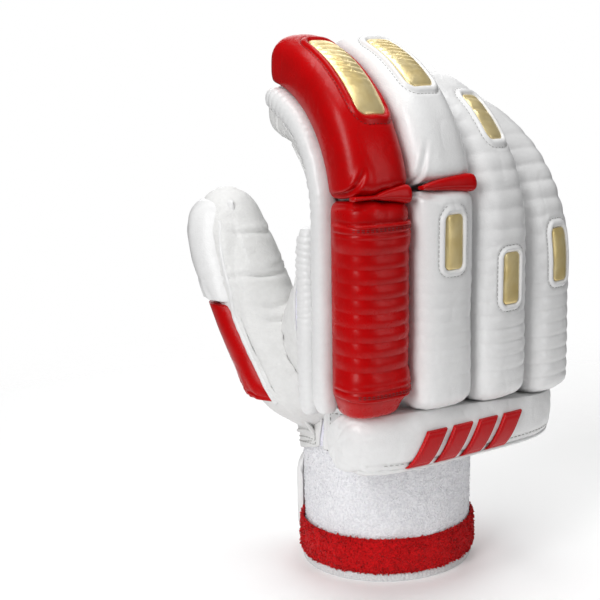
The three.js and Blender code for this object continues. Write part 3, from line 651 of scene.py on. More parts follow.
def piping(path, radius):
    """A round cord of leather along a path."""
    way = np.gradient(path, axis=0)
    way /= np.linalg.norm(way, axis=1, keepdims=True) + 1e-9
    side = np.cross(way, [0.31, 0.52, 0.79])
    side /= np.linalg.norm(side, axis=1, keepdims=True) + 1e-9
    over = np.cross(way, side)
    a = circle(10)[None, :, None]
    ring = side[:, None] * np.cos(a) + over[:, None] * np.sin(a)
    wobble = radius * (1 + 0.1 * swell(path, 3, 77))[:, None, None]
    return skin(path[:, None] + ring * wobble)


def thread(name, colour, shade):
    """Twisted sewing thread."""
    strand = Finish(name)
    twist = strand.between(strand.noise(3000, 2), 0.3, 0.7)
    return strand.done(
        Base_Color=strand.mixed(twist, shade, colour), Roughness=0.6,
        Normal=strand.raised(twist, 0.3, 0.0002),
    )


# Both threads are coloured darker than white and red thread: painted shade for stitches sunk in their
# holes.
shaded_white_thread = thread("shaded_white_thread", (0.56, 0.56, 0.55), (0.34, 0.34, 0.33))
shaded_red_thread = thread("shaded_red_thread", (0.3, 0.003, 0.005), (0.12, 0.001, 0.002))

for name, row in rolls.items():
    red = row["finger"] == "index"
    finish, slot = (red_leather, "red_leather") if red else (white_leather, "white_leather")
    piece(name, [skin(cover(name, row))], finish, [name])

row = rolls["index_lower_roll"]
low, high = np.array(span(row)) + row["collars"] * np.array([1, -1])
edge = np.linspace(-0.95, 0.95, 80) * fingers["index"].half
edge_lift = 0.9 - 2.5 * np.abs(edge / 16.5) ** 8
seam_lift = 0.3 + 0.4 * np.abs(edge / 16) ** 3
collar_edges = [
    piping(on_roll("index_lower_roll", at, edge, edge_lift), 0.85) for at in (low - 0.4, high + 0.4)
]
piece("collar_edges", collar_edges, red_leather)
collar_seams = [
    stitches(on_roll("index_lower_roll", at + zig, edge, seam_lift), 2.1, 1.5, 0.3)
    for at in (low + 1.3, high - 1.3) for zig in (-0.45, 0.45)
]
piece("collar_stitches", collar_seams, shaded_red_thread)

# The gold bars are strips of metallised film over thin card, crumpled by the bend of the
# finger and held by the stitched rim of their pocket.
film = Finish("gold_film")
cloud = film.noise(75, 4, Distortion=0.6)
fine_grain = film.noise(900, 3)
film_tone = film.mixed(film.between(cloud, 0.3, 0.7), (0.86, 0.67, 0.29), (0.96, 0.8, 0.44))
gold_finish = film.done(
    Base_Color=film_tone, Metallic=0.62, Roughness=film.between(fine_grain, 0.3, 0.7, 0.3, 0.42),
    Normal=film.raised(cloud + fine_grain * 0.12, 0.12, 0.0012),
)


def outline(bar, gap, count):
    """Places (s, l) at one distance outside a gold bar's outline."""
    total = fingers[rolls[bar["roll"]]["finger"]].total
    half_long = (bar["end"] - bar["start"]) / 2 * total + gap
    half_wide = bar["width"] / 2 + gap
    corner = bar_corner * bar["width"] / 2 + gap
    quarter = np.linspace(0, np.pi / 2, count)
    s, l = [], []
    for a, b, turn in ((1, 1, 0), (-1, 1, 1), (-1, -1, 2), (1, -1, 3)):
        angle = quarter + turn * np.pi / 2
        s.append(a * (half_long - corner) + corner * np.cos(angle))
        l.append(b * (half_wide - corner) + corner * np.sin(angle))
    middle = (bar["start"] + bar["end"]) / 2 * total
    return middle + np.concatenate(s), bar["side"] * finger_wide + np.concatenate(l)


def dense(s, l, closed_count):
    """A closed (s, l) line with evenly spaced points."""
    line = np.stack([np.append(s, s[0]), np.append(l, l[0])], -1)
    run = np.concatenate([[0], np.cumsum(np.hypot(*np.diff(line, axis=0).T))])
    at = np.linspace(0, run[-1], closed_count, endpoint=False)
    return np.interp(at, run, line[:, 0]), np.interp(at, run, line[:, 1])


for number, (name, bar) in enumerate(gold_bars.items()):
    row = rolls[bar["roll"]]
    finger = fingers[row["finger"]]
    rim_s, rim_l = dense(*outline(bar, -0.1, 12), 120)
    mid_s, mid_l = rim_s.mean(), rim_l.mean()
    shares = np.concatenate([[1, 1, 1], np.linspace(0.97, 0.02, 26)])[:, None]
    drops = np.concatenate([[-2.2, -0.9, -0.15], np.zeros(26)])[:, None]
    s = mid_s + (rim_s - mid_s) * shares
    l = mid_l + (rim_l - mid_l) * shares
    flat = finger.at(s, l, crown(row, s, l))
    inside = -pocket(bar, s, l)
    puff = 0.55 * (1 - np.exp(-inside / 1.6)) - 0.15
    if bar["folds"]:
        half_long = (bar["end"] - bar["start"]) * finger.total / 2
        place = (s - mid_s) / half_long
        turns = np.pi * bar["folds"] * place * 0.9
        wave = np.cos(turns + 0.09 * l + 0.9 * swell(flat, 11, 60 + number))
        crest = 0.6 * (np.abs(wave) ** 0.7 - 0.65)
        puff = puff + crest * smoothly(place, -0.7, 0.1) * smoothly(inside, 0, 2)
    dents = 0.22 * swell(flat, 7, 70 + number) + 0.05 * swell(flat, 3, 90 + number)
    puff = puff + dents * smoothly(inside, 0, 1.5)
    piece(name, [skin(finger.at(s, l, crown(row, s, l) + puff + drops))], gold_finish, [name])
    seam_s, seam_l = dense(*outline(bar, 3.3, 12), 160)
    red = row["finger"] == "index"
    colour, slot = (shaded_red_thread, "red_leather") if red else (shaded_white_thread, "white_leather")
    seam = on_roll(bar["roll"], seam_s, seam_l, 0.12)
    piece(name + "_stitches", [stitches(seam, 2.1, 1.45, 0.26, True)], colour)

# A strip of red leather is folded into the knuckle split of the first two fingers. It starts
# thin, under the pinched corner of the rolls, and thickens to a rounded end.


def blunted(value, power):
    """A sine or cosine raised to a power with its sign kept, which squares up an oval."""
    return np.sign(value) * np.abs(value) ** power


for finger_name, (start, end) in inserts.items():
    finger = fingers[finger_name]
    name = finger_name + "_knuckle_insert"
    l = np.linspace(-15.8, end, 96)[:, None]
    share = np.clip((l - start) / (end - start), 0, 1)
    a = np.linspace(-np.pi, np.pi, 56, endpoint=False)[None]
    blunt = np.sqrt(1 - np.maximum(2 * share - 1, 0) ** 10 * 0.8)
    tall = (0.75 + 2.6 * share ** 0.7) * blunt
    thick = (2.6 + 1.4 * share) * blunt
    fold_line = 0.35 * ridge(a + 0.55, 0.16) * smoothly(share, 0.02, 0.2)
    fold_line = fold_line * (1 - smoothly(share, 0.88, 0.98))
    up = tall * blunted(np.sin(a), 0.85)
    out = (thick - fold_line) * blunted(np.cos(a), 0.75)
    fold = finger.at(finger.split + up + 0.5 * np.sin(share * 3), l, 20.4 + out)
    fold += outward(fold) * (0.15 * swell(fold, 6, 31))[..., None]
    piece(name, [skin(fold)], red_leather, [name])

# The hand is a shell of leather: a white back under the rolls, a soft palm with the fingers'
# inner strips, and between them strips of open knitted mesh. The seams are piped and sewn.
hand_foot, hand_height = 86, 86
hand_back = -48.5
rises = [0, 0.13, 0.3, 0.52, 0.72, 0.88, 1]
hand_width = [46.1, 55.0, 61.4, 64, 64.6, 64.6, 64]
hand_palm = [41.1, 35.7, 33, 22.4, 7.5, -6.8, -16.3]
hand_square = [2, 2.2, 2.4, 2.6, 2.8, 3, 3]


def hand_section(z):
    """Half width, middle in Y, half depth and squareness of the hand at a height."""
    rise = np.clip((z - hand_foot) / hand_height, 0, 1)
    width, palm, square = (np.interp(rise, rises, row) for row in (hand_width, hand_palm, hand_square))
    return width, (hand_back + palm) / 2, (palm - hand_back) / 2, square


def hand_ring(z, angles):
    """Points round the hand at a height."""
    width, middle, depth, square = hand_section(z)
    x = width * blunted(np.cos(angles), 2 / square)
    y = middle + depth * blunted(np.sin(angles), 2 / square)
    return np.stack(np.broadcast_arrays(x, y, z), -1)


stall_wide, stall_deep, stall_middle = 12.5, 12.7, -13  # half width, half depth and middle in d


def domed(s, end):
    """How the girth of a fingertip shrinks towards its end."""
    past = np.clip(1 - (end - s) / 18, 0, 1)
    return np.sqrt(np.maximum(0.004, 1 - past ** 2.4))


def stall(start, end, out, closed):
    """The tube of one finger, or its closed cap."""
    s = np.linspace(start, end, 60)[:, None]
    size = 1
    if closed:
        s = start + (end - start) * np.sin(np.linspace(0, np.pi / 2, 60))[:, None]
        size = domed(s, end)
    a = circle(72)[None]
    l = (stall_wide + out) * size * blunted(np.cos(a), 0.8)
    d = (stall_deep + out) * size * blunted(np.sin(a), 0.8) + stall_middle
    return np.broadcast_arrays(s, l, d)


def as_mesh(shapes, voxel):
    """Closed shapes fused into one skin of small triangles."""
    made = piece("form", shapes, white_leather)
    fuse = made.modifiers.new("fuse", "REMESH")
    fuse.mode = "VOXEL"
    fuse.voxel_size = voxel / 1000
    even = made.evaluated_get(bpy.context.evaluated_depsgraph_get()).to_mesh()
    even.calc_loop_triangles()
    points = np.zeros(len(even.vertices) * 3)
    even.vertices.foreach_get("co", points)
    faces = np.zeros(len(even.loop_triangles) * 3, np.int32)
    even.loop_triangles.foreach_get("vertices", faces)
    bpy.data.objects.remove(made)
    return (points.reshape(-1, 3) - origin) * 1000, faces.reshape(-1, 3).astype(np.int64)


def relaxed(points, faces, times):
    """A mesh with its points drawn towards their neighbours."""
    ends = np.concatenate([faces[:, [0, 1]], faces[:, [1, 2]], faces[:, [2, 0]]])
    count = np.bincount(ends[:, 0], minlength=len(points))[:, None]
    for _ in range(times):
        beside = points[ends[:, 1]]
        total = np.stack([np.bincount(ends[:, 0], beside[:, k], len(points)) for k in range(3)], -1)
        points = 0.5 * points + 0.5 * total / np.maximum(count, 1)
    return points


def point_normals(points, faces):
    a, b, c = (points[faces[:, k]] for k in range(3))
    face = np.cross(b - a, c - a)
    total = np.stack([
        sum(np.bincount(faces[:, j], face[:, k], len(points)) for j in range(3)) for k in range(3)
    ], -1)
    return total / (np.linalg.norm(total, axis=1, keepdims=True) + 1e-9)


def cut(points, faces, field):
    """The part of a mesh where a field is above nought, and the cut edges' end points."""
    field = np.where(np.abs(field) < 1e-7, 1e-7, field)
    inside = field > 0
    count = inside[faces].sum(1)
    kept = [faces[count == 3]]
    base = len(points)
    ends = np.sort(np.concatenate([faces[:, [0, 1]], faces[:, [1, 2]], faces[:, [2, 0]]]), 1)
    ends = np.unique(ends[inside[ends[:, 0]] != inside[ends[:, 1]]], axis=0)
    share = (field[ends[:, 0]] / (field[ends[:, 0]] - field[ends[:, 1]]))[:, None]
    fresh = points[ends[:, 0]] * (1 - share) + points[ends[:, 1]] * share
    keys = ends[:, 0] * base + ends[:, 1]

    def on_edge(a, b):
        return base + np.searchsorted(keys, np.minimum(a, b) * base + np.maximum(a, b))

    edges = []
    for many in (1, 2):
        some = faces[count == many]
        odd = np.argmax(inside[some] == (many == 1), 1)
        a, b, c = (some[np.arange(len(some)), (odd + k) % 3] for k in range(3))
        ab, ac = on_edge(a, b), on_edge(a, c)
        edges.append(np.stack([ab, ac], 1))
        shapes = [(a, ab, ac)] if many == 1 else [(ab, b, c), (ab, c, ac)]
        kept += [np.stack(shape, 1) for shape in shapes]
    faces = np.concatenate(kept)
    points = np.concatenate([points, fresh])
    used, number = np.unique(faces, return_inverse=True)
    renumber = np.full(len(points), -1)
    renumber[used] = np.arange(len(used))
    return points[used], number.reshape(-1, 3), renumber[np.concatenate(edges)]


def largest(points, faces):
    """The largest connected part of a mesh."""
    label = np.arange(len(points))
    while True:
        low = label[faces].min(1)
        fresh = label.copy()
        for k in range(3):
            np.minimum.at(fresh, faces[:, k], low)
        fresh = fresh[fresh]
        if (fresh == label).all():
            break
        label = fresh
    most = np.bincount(label[faces[:, 0]]).argmax()
    faces = faces[label[faces[:, 0]] == most]
    used, number = np.unique(faces, return_inverse=True)
    return points[used], number.reshape(-1, 3)


def chains(points, edges):
    """Cut edges joined into paths, longest first."""
    near = {}
    for a, b in edges.tolist():
        near.setdefault(a, []).append(b)
        near.setdefault(b, []).append(a)
    paths = []
    loose = set(near)
    while loose:
        open_ends = [k for k in loose if len(near[k]) == 1]
        here = min(open_ends) if open_ends else min(loose)
        path = [here]
        loose.discard(here)
        while True:
            onward = [k for k in near[path[-1]] if k in loose]
            if not onward:
                break
            path.append(onward[0])
            loose.discard(onward[0])
        if len(path) > 12:
            paths.append(points[path])
    return sorted(paths, key=len, reverse=True)


def eased(path, times=8):
    """A path with its corners drawn in."""
    path = resampled(path, 1.0)
    for _ in range(times):
        path[1:-1] = 0.25 * path[:-2] + 0.5 * path[1:-1] + 0.25 * path[2:]
    return path


def depth_below(points):
    """How deep points lie under the rolls, measured in the frame of the nearest finger."""
    total = 0
    weight = 0
    for finger in fingers.values():
        _, l, d = finger.find(points)
        near = ridge(l, 9.0) + 1e-12
        total = total + near * d
        weight = weight + near
    return total / weight


def lower_edge(y):
    """Height of the slanted lower edge of the hand."""
    return 77 - 24 / 82 * (y + 43)


above_palm = 165  # the height from which the fingers stand apart
levels = np.concatenate([np.linspace(50, 86, 10), np.linspace(88, 170, 34), [171.6]])
hand_rings = np.stack([hand_ring(z, circle(110)) for z in levels])
hand_rings[-1, :, :2] = hand_rings[-1, :, :2] * 0.96 + hand_rings[-1, :, :2].mean(0) * 0.04
tubes = [
    skin(finger.at(*stall(146 - finger.foot[2], finger.total - 14, 0, False)))
    for finger in fingers.values()
]
hand_points, hand_faces = as_mesh([skin(hand_rings)] + tubes, 1.7)
hand_points = relaxed(hand_points, hand_faces, 10)
hand_normals = point_normals(hand_points, hand_faces)
crinkle = 0.3 * swell(hand_points, 15, 21) + 0.14 * swell(hand_points, 5, 22)
for finger in fingers.values():
    s, l, d = finger.find(hand_points)
    inner = smoothly(-d, 14, 22) * (1 - smoothly(np.abs(l), 11, 15))
    inner = inner * (hand_points[:, 2] > above_palm)
    for share, fold in ((0.56, 1.0), (0.6, 0.7), (0.7, 0.8), (0.75, 1.1), (0.79, 0.6), (0.88, 0.7)):
        line = s - share * finger.total + 1.6 * swell(hand_points, 9, 23)
        crinkle -= inner * fold * (ridge(line, 1.1) - 0.4 * ridge(line - 2.4, 1.3))
palm_side = smoothly(hand_points[:, 1], -20, 10)
for z, lean, fold in (
    (104, 0.25, 0.8), (118, -0.1, 1.1), (131, 0.15, 1.0), (146, -0.05, 0.8), (158, 0.1, 0.7),
):
    line = hand_points[:, 2] - z - lean * hand_points[:, 0] + 3 * swell(hand_points, 18, 24)
    crinkle -= palm_side * fold * (ridge(line, 1.5) - 0.4 * ridge(line - 3.2, 1.7))
hand_points = hand_points + hand_normals * crinkle[:, None]
depth = depth_below(hand_points)
proud = (depth > -0.6) & (hand_points[:, 2] < 180)
hand_points[proud, 1] += (0.6 + depth)[proud]

palm_hide = leather("palm_leather", (0.79, 0.79, 0.78), (0.71, 0.708, 0.7), 0.55, 0.0, 0.28, 900)
net = Finish("open_mesh")
# The holes of the mesh are coloured darker: painted shade for the inside of the glove seen through them.
# The same pattern gives them their relief.
holes_and_shade = net.between(net.cells(1050), 0.16, 0.4)
net_finish = net.done(
    Base_Color=net.mixed(holes_and_shade, (0.6, 0.59, 0.68), (0.8, 0.79, 0.88)),
    Roughness=0.85, Normal=net.raised(holes_and_shade, 0.5, 0.0005), Sheen_Weight=0.1,
)


def walled(made, thickness):
    """Gives a skin its thickness, inwards."""
    wall = made.modifiers.new("wall", "SOLIDIFY")
    wall.thickness = thickness / 1000
    wall.offset = -1


def seam_depth(points, hand, finger, low=0):
    """How deep a seam lies below the rolls: less in the fingers, more low on the thumb side."""
    share = smoothly(points[:, 2], 156, 182)
    thumb_side = (1 - smoothly(points[:, 2], 66, 104)) * (points[:, 0] < 0)
    return hand + (finger - hand) * share + low * thumb_side


above = hand_points[:, 2] - lower_edge(hand_points[:, 1])
kept, kept_faces, _ = cut(hand_points, hand_faces, above)
for finger in fingers.values():
    s, l, d = finger.find(kept)
    in_tube = (np.abs(l) < 17) & (kept[:, 2] > above_palm)
    field = np.where(in_tube, finger.total - 16 - s, 1)
    kept, kept_faces, _ = cut(kept, kept_faces, field)
mouth = (kept[:, 0] / 44.6) ** 2 + ((kept[:, 1] - wrist) / 41.6) ** 2 - 1
kept, kept_faces, _ = cut(kept, kept_faces, np.where(kept[:, 2] < 70, mouth, 1))
under = depth_below(kept)
back_points, back_faces, _ = cut(kept, kept_faces, under + seam_depth(kept, 23, 9))
palm_points, palm_faces, palm_cuts = cut(kept, kept_faces, -under - seam_depth(kept, 30.5, 16.5, 8))
back = [largest(back_points, back_faces)]
walled(piece("back_shell", back, white_leather, ["back_shell"]), 1.7)
palm = [largest(palm_points, palm_faces)]
walled(piece("palm_leather", palm, palm_hide, ["palm_leather"]), 1.7)
palm_seams = [eased(path) for path in chains(palm_points, palm_cuts)]
piece("palm_seam_piping", [piping(path, 0.75) for path in palm_seams], palm_hide)

net_points, net_faces, _ = cut(kept, kept_faces, -under - seam_depth(kept, 23, 9) + 0.1)
net_depth = depth_below(net_points)
net_points, net_faces, _ = cut(net_points, net_faces, net_depth + seam_depth(net_points, 30.4, 16.4, 8))
rims = point_normals(net_points, net_faces)
net_points = net_points - rims * (0.5 + 0.15 * swell(net_points, 6, 25))[:, None]
gusset_nodes = [
    "gusset_thumb_side", "gusset_index_middle", "gusset_middle_ring", "gusset_ring_little",
    "gusset_little_side",
]
gussets = piece("mesh_gussets", [(net_points, net_faces)], net_finish, gusset_nodes)
walled(gussets, 0.9)

# The palm side of each finger is a strip with an arched end. Its edge is turned, piped and
# sewn, and so are the long outer edge of the palm and its slanted lower edge.
palm_skin = BVHTree.FromPolygons(palm_points.tolist(), palm_faces.tolist())


def laid(path, lift, over=palm_skin):
    """A path dropped on a skin and lifted off it a little."""
    near = [over.find_nearest(point)[:2] for point in np.asarray(path).tolist()]
    return np.array([list(place + normal * lift) for place, normal in near])


strip_face = -25.9
strip_cords, strip_seams = [], []
for finger in fingers.values():
    low = finger.total * 0.36
    top = finger.total - 23
    rise = np.linspace(low, top - 10, 70)
    turn = np.linspace(0, np.pi, 40)
    s = np.concatenate([rise, top - 10 + 10 * np.sin(turn), rise[::-1]])
    l = np.concatenate([np.full(70, 10.5), 10.5 * np.cos(turn), np.full(70, -10.5)])
    strip_cords.append(piping(eased(laid(finger.at(s, l, strip_face), 0.2), 3), 0.8))
    strip_seams.append(stitches(laid(finger.at(s, l * 0.83, strip_face), 0.2), 2.5, 1.7, 0.26))
piece("finger_strip_piping", strip_cords, palm_hide)
a = np.linspace(0.02 * np.pi, 0.98 * np.pi, 140)
heel = hand_ring(80, a)
heel[:, 2] = lower_edge(heel[:, 1]) + 3.2
strip_seams.append(stitches(laid(heel, 0.2), 2.5, 1.7, 0.26))
piece("palm_stitches", strip_seams, shaded_white_thread)

# Pinholes let the palm breathe. They are punched through the leather in loose rows, beside the
# patch over the ball of the thumb.
# Each pinhole is a dark disc laid on the palm: painted shade for the inside of the glove seen through it.
hole_shade_finish = Finish("pinhole_shade")
shade = hole_shade_finish.noise(800, 2)
hole_shade_colour = hole_shade_finish.mixed(shade, (0.1, 0.1, 0.1), (0.2, 0.2, 0.19))
pinhole_shade = hole_shade_finish.done(Base_Color=hole_shade_colour, Roughness=0.9)
chance = np.random.default_rng(44)
spots = []
for k in range(6):
    for j in range(9):
        x = 12 + 5.2 * k + chance.normal() * 0.8
        z = 78 + 6 * j + 1.6 * k + chance.normal() * 0.8
        middle, normal = palm_skin.find_nearest((x, 45, z))[:2]
        side = normal.cross(Vector((0, 0, 1))).normalized()
        over = normal.cross(side)
        rim = [
            list(middle + normal * 0.06 + (side * math.cos(b) + over * math.sin(b)) * 0.42)
            for b in np.arange(7) * math.tau / 7
        ]
        spots.append((np.array(rim), [np.arange(7)[None]]))
piece("palm_pinholes", spots, pinhole_shade)

# Soft leather caps close the fingertips. Each is two panels with a seam down its middle and a
# second seam across where it joins the finger's strip.
cap_stitches = []
for name, finger in fingers.items():
    start, end = finger.total - 19.7, finger.total + 9
    s, l, d = stall(start, end, 0.35, True)
    cap = finger.at(s, l, d)
    lift = 0.25 * swell(cap, 9, 51) + 0.12 * swell(cap, 3.5, 52)
    lift -= 1.0 * ridge(l, 0.6) * (d < -13)
    lift += 0.45 * ridge(np.abs(l) - 1.6, 0.8) * (d < -13)
    lift -= 0.9 * ridge(s - start - 7, 0.6) - 0.4 * ridge(s - start - 8.6, 0.9)
    cap = cap + outward(cap) * lift[..., None]
    piece(name + "_cap", [skin(cap)], palm_hide, [name + "_cap"])
    for side in (-2.6, 2.6):
        run = np.linspace(start + 8, end - 3.5, 30)
        size = domed(run, end)
        seam = finger.at(run, side * size, stall_middle - (stall_deep + 0.45) * size)
        cap_stitches.append(stitches(seam, 2.4, 1.6, 0.22))
    a = np.linspace(np.pi, 2 * np.pi, 40)
    ring_l = (stall_wide + 0.45) * blunted(np.cos(a), 0.8)
    ring_d = (stall_deep + 0.45) * blunted(np.sin(a), 0.8) + stall_middle
    cap_stitches.append(stitches(finger.at(start + 8.6, ring_l, ring_d), 2.4, 1.6, 0.22))
piece("cap_stitches", cap_stitches, shaded_white_thread)

# The thumb is a soft leather stall that rises from the heel of the hand, with a white pad over
# its last joint and a red pad over its first, both piped along their edges and gathered below.
turn_out = math.radians(24)
thumb_out = np.array([-math.cos(turn_out), math.sin(turn_out), 0])
thumb_across = np.array([math.sin(turn_out), math.cos(turn_out), 0])
thumb_square = 2.2
thumb_rows = np.array([
    # x, y and z of the middle, half depth, half breadth
    [-32.0, 12.0, 72.0, 9.0, 10.0],
    [-44.8, 7.5, 89.4, 20.3, 21.4],
    [-51.8, 18.4, 112.7, 19.3, 21.4],
    [-56.6, 29.6, 135.9, 17.9, 19.6],
    [-59.5, 39.1, 158.2, 17.5, 17.5],
    [-60.8, 45.6, 175.4, 14.7, 14.9],
    [-61.1, 47.9, 184.9, 10.2, 10.5],
    [-61.1, 49.0, 189.2, 3.5, 3.9],
])


def through(rows, shares):
    """Rows on a smooth curve through the given rows."""
    count = len(rows)
    padded = np.concatenate([2 * rows[:1] - rows[1:2], rows, 2 * rows[-1:] - rows[-2:-1]])
    place = np.clip(np.asarray(shares, float), 0, 1) * (count - 1)
    k = np.minimum(place.astype(int), count - 2)
    t = (place - k)[:, None]
    a, b, c, d = padded[k], padded[k + 1], padded[k + 2], padded[k + 3]
    bend, twist = 2 * a - 5 * b + 4 * c - d, 3 * b - a - 3 * c + d
    return 0.5 * (2 * b + (c - a) * t + bend * t * t + twist * t ** 3)


def thumb_rings(rows, angles):
    """Level rings of points round the thumb at the given rows."""
    c = blunted(np.cos(angles), 2 / thumb_square)[None, :, None]
    s = blunted(np.sin(angles), 2 / thumb_square)[None, :, None]
    return (rows[:, None, :3] + rows[:, 3, None, None] * c * thumb_out
            + rows[:, 4, None, None] * s * thumb_across)


top_shares = 0.8 + 0.2 * np.sin(np.linspace(0, np.pi / 2, 30))[1:]
shares = np.concatenate([np.linspace(0, 0.8, 96), top_shares])
thumb = thumb_rings(through(thumb_rows, shares), circle(132))
inward = thumb - thumb.mean(1, keepdims=True)
wrinkle = 0.35 * swell(thumb, 13, 61) + 0.15 * swell(thumb, 4.5, 62)
for z, lean, fold in (
    (112, 0.3, 1.0), (126, -0.2, 1.2), (140, 0.2, 0.8), (152, 0.1, 1.1), (156, 0.16, 0.7), (168, -0.1, 0.6),
):
    line = thumb[..., 2] - z - lean * (inward @ thumb_across) + 1.5 * swell(thumb, 12, 63)
    facing = 1 - smoothly(inward @ thumb_out, -6, 10)
    wrinkle -= facing * fold * (ridge(line, 1.1) - 0.4 * ridge(line - 2.4, 1.3))
seam_turn = np.linspace(-0.96 * np.pi, -0.12 * np.pi, 60)
seam_row = through(thumb_rows, [0.52])
seam_row[:, 3:] += 0.2
seam = thumb_rings(seam_row, seam_turn)[0]
seam[:, 2] -= 9 * (np.abs(seam_turn + 0.45 * np.pi) / np.pi) ** 1.2
beside = np.min([np.linalg.norm(thumb - point, axis=-1) for point in resampled(seam, 0.8)], 0)
wrinkle += 0.35 * ridge(beside - 2.6, 1.2) - 0.6 * ridge(beside, 0.9)
welt_shares = [0.15, 0.4, 0.47, 0.7, 0.78]
welt_broad = [16.4, 13, 15.2, 14.2, 11.5]
welt = np.interp(shares, welt_shares, welt_broad)[:, None]
off_welt = np.abs(inward @ thumb_across) - welt - 1.9
along_welt = (smoothly(shares, 0.15, 0.2) * (1 - smoothly(shares, 0.7, 0.78)))[:, None]
wrinkle -= 0.9 * ridge(off_welt, 0.9) * (inward @ thumb_out > 0) * along_welt
thumb = thumb + outward(thumb) * wrinkle[..., None]
thumb_points, (quads, first, last) = skin(thumb)
thumb_faces = np.concatenate([quads[:, :3], quads[:, [0, 2, 3]], first, last])
width, middle, depth, square = hand_section(thumb_points[:, 2])
in_x = np.abs(thumb_points[:, 0]) / (width - 0.4)
in_y = np.abs(thumb_points[:, 1] - middle) / (depth - 0.4)
outside = in_x ** square + in_y ** square - 1
thumb_points, thumb_faces, root_edges = cut(thumb_points, thumb_faces, outside)
stall_skin = [largest(thumb_points, thumb_faces)]
walled(piece("thumb_leather", stall_skin, palm_hide, ["thumb_leather"]), 1.6)
root_seams = [eased(path) for path in chains(thumb_points, root_edges)[:1]]
piece("thumb_root_piping", [piping(path, 0.9) for path in root_seams], palm_hide)

thumb_skin = BVHTree.FromPolygons(thumb_points.tolist(), thumb_faces.tolist())
from_axis = seam - seam_row[0, :3]
from_axis /= np.linalg.norm(from_axis, axis=1, keepdims=True)
sewn = laid(seam, 0, thumb_skin) + 0.25 * from_axis
piece("thumb_stitches", [stitches(sewn[6:-4], 2.5, 1.7, 0.32)], shaded_white_thread)


def pad_on_thumb(shares, high, broad, places, fade):
    """Points of a crowned pad that lies on the outer face of the thumb, and of its foot."""
    rows = through(thumb_rows, shares)
    along = np.abs(np.linspace(-1, 1, len(shares)))
    half = np.linspace(*broad, len(shares)) * (0.78 + 0.22 * np.sqrt(1 - along ** 9))
    breadth = half[:, None] * places
    bowed = 1 - np.minimum(np.abs(breadth) / rows[:, 4:5], 1) ** thumb_square
    bowed = bowed ** (1 / thumb_square)
    foot = rows[:, 3:4] * bowed - 0.6
    rise = np.linspace(0, 1, len(shares))
    body = np.sqrt(np.clip(rise / 0.08, 0, 1)) * np.sqrt(np.clip((1 - rise) / fade, 0, 1))
    top = foot + (high * body)[:, None] * (1 - np.abs(places) ** 3.2) ** 0.5
    base = rows[:, None, :3] + breadth[..., None] * thumb_across
    return base + top[..., None] * thumb_out, base + foot[..., None] * thumb_out, breadth


places = spread(61)[None]
cords = []
for name, start, end, high, broad, fade, finish, slot, seed in (
    ("thumb_upper_pad", 0.439, 0.88, 8.5, (14.5, 14.5), 0.5, white_leather, "white_leather", 64),
    ("thumb_lower_pad", 0.155, 0.43, 7, (17, 12), 0.06, red_leather, "red_leather", 65),
):
    shares = start + (end - start) * (1 - np.cos(np.linspace(0, np.pi, 124))) / 2
    top, foot, side = pad_on_thumb(shares, high, broad, places, fade)
    rise = top[..., 2] - top[..., 2].min()
    lift = 0.3 * swell(top, 12, seed) + 0.1 * swell(top, 4, seed + 10)
    lift -= 0.25 * ridge(swell(top, 13, seed + 30), 0.12)
    gather = np.cos(side * 1.1 + 1.6 * swell(top, 6, seed + 20)) * (1 - smoothly(rise, 3, 14))
    across_foot = ridge(rise - 5 - 0.2 * side, 0.8) * (slot == "red_leather")
    lift = lift + 0.4 * gather - 0.9 * across_foot
    top = top + thumb_out * (lift * (1 - np.abs(places) ** 6))[..., None]
    pad = np.concatenate([top, foot[:, ::-3]], 1)
    piece(name, [skin(pad)], finish, [name])
for way in (-1, 1):
    shares = np.linspace(0.15, 0.78, 200)
    broad = np.interp(shares, welt_shares, welt_broad)
    rows = through(thumb_rows, shares)
    broad = np.minimum(broad, 0.97 * rows[:, 4])
    bowed = (1 - (broad / rows[:, 4]) ** thumb_square) ** (1 / thumb_square)
    foot = rows[:, 3] * bowed + 1.1 - 4 * smoothly(shares, 0.72, 0.78)
    cords.append(rows[:, :3] + way * broad[:, None] * thumb_across + foot[:, None] * thumb_out)
piece("thumb_piping", [piping(eased(cord, 3), 1.5) for cord in cords], white_leather)

# Two bulging pads run up the thumb side of the index finger, gathered where they are sewn in,
# over a flat quilted panel beside the wrist bar.
index = fingers["index"]
for name, rank, start, end, lean, seed in (
    ("side_bar_long", 0, -1, 172, 1, 71),
    ("side_bar_short", 1, -4, 84, 2, 72),
):
    length = end - start
    s = start + length * (1 - np.cos(np.linspace(0, np.pi, 230)))[:, None] / 2
    edge = np.clip(np.minimum(s - start, end - s) / 10, 0, 1)
    size = 0.35 + 0.65 * (1 - (1 - edge) ** 2) ** 0.5
    a = circle(46)[None]
    l = -12.5 - lean + 6 * size * blunted(np.cos(a), 0.8)
    d = -(rank + 1) * 0.3 - (rank + 0.5) * 11 + 5.5 * size * blunted(np.sin(a), 0.8)
    bar = index.at(s, l, d)
    lift = 0.3 * swell(bar, 10, seed) + 0.12 * swell(bar, 4, seed + 5)
    puckers = np.cos(s * (1.0 if rank else 0.75) + 1.4 * swell(bar, 8, seed + 9))
    puckers = np.abs(puckers) ** 0.6 - 0.7
    lift = lift + 0.42 * puckers * (0.35 + 0.65 * smoothly(s, end - 60, end - 30))
    gathers = np.maximum(0, np.cos(s * 1.15 + 1.2 * swell(bar, 7, seed + 12))) ** 2
    lift = lift - 0.9 * gathers * smoothly(np.sin(a), -0.1, -0.8) * smoothly(s, end - 110, end - 80)
    bar = bar + outward(bar) * lift[..., None]
    piece(name, [skin(bar)], white_leather, [name])


def on_hand(y, z, out):
    """Points on the thumb side of the hand at given y and z."""
    width, middle, depth, square = hand_section(z)
    off = np.clip(np.abs(y - middle) / (depth + out), 0, 1)
    x = -(width + out) * (1 - off ** square) ** (1 / square)
    return np.stack(np.broadcast_arrays(x, y, z), -1)


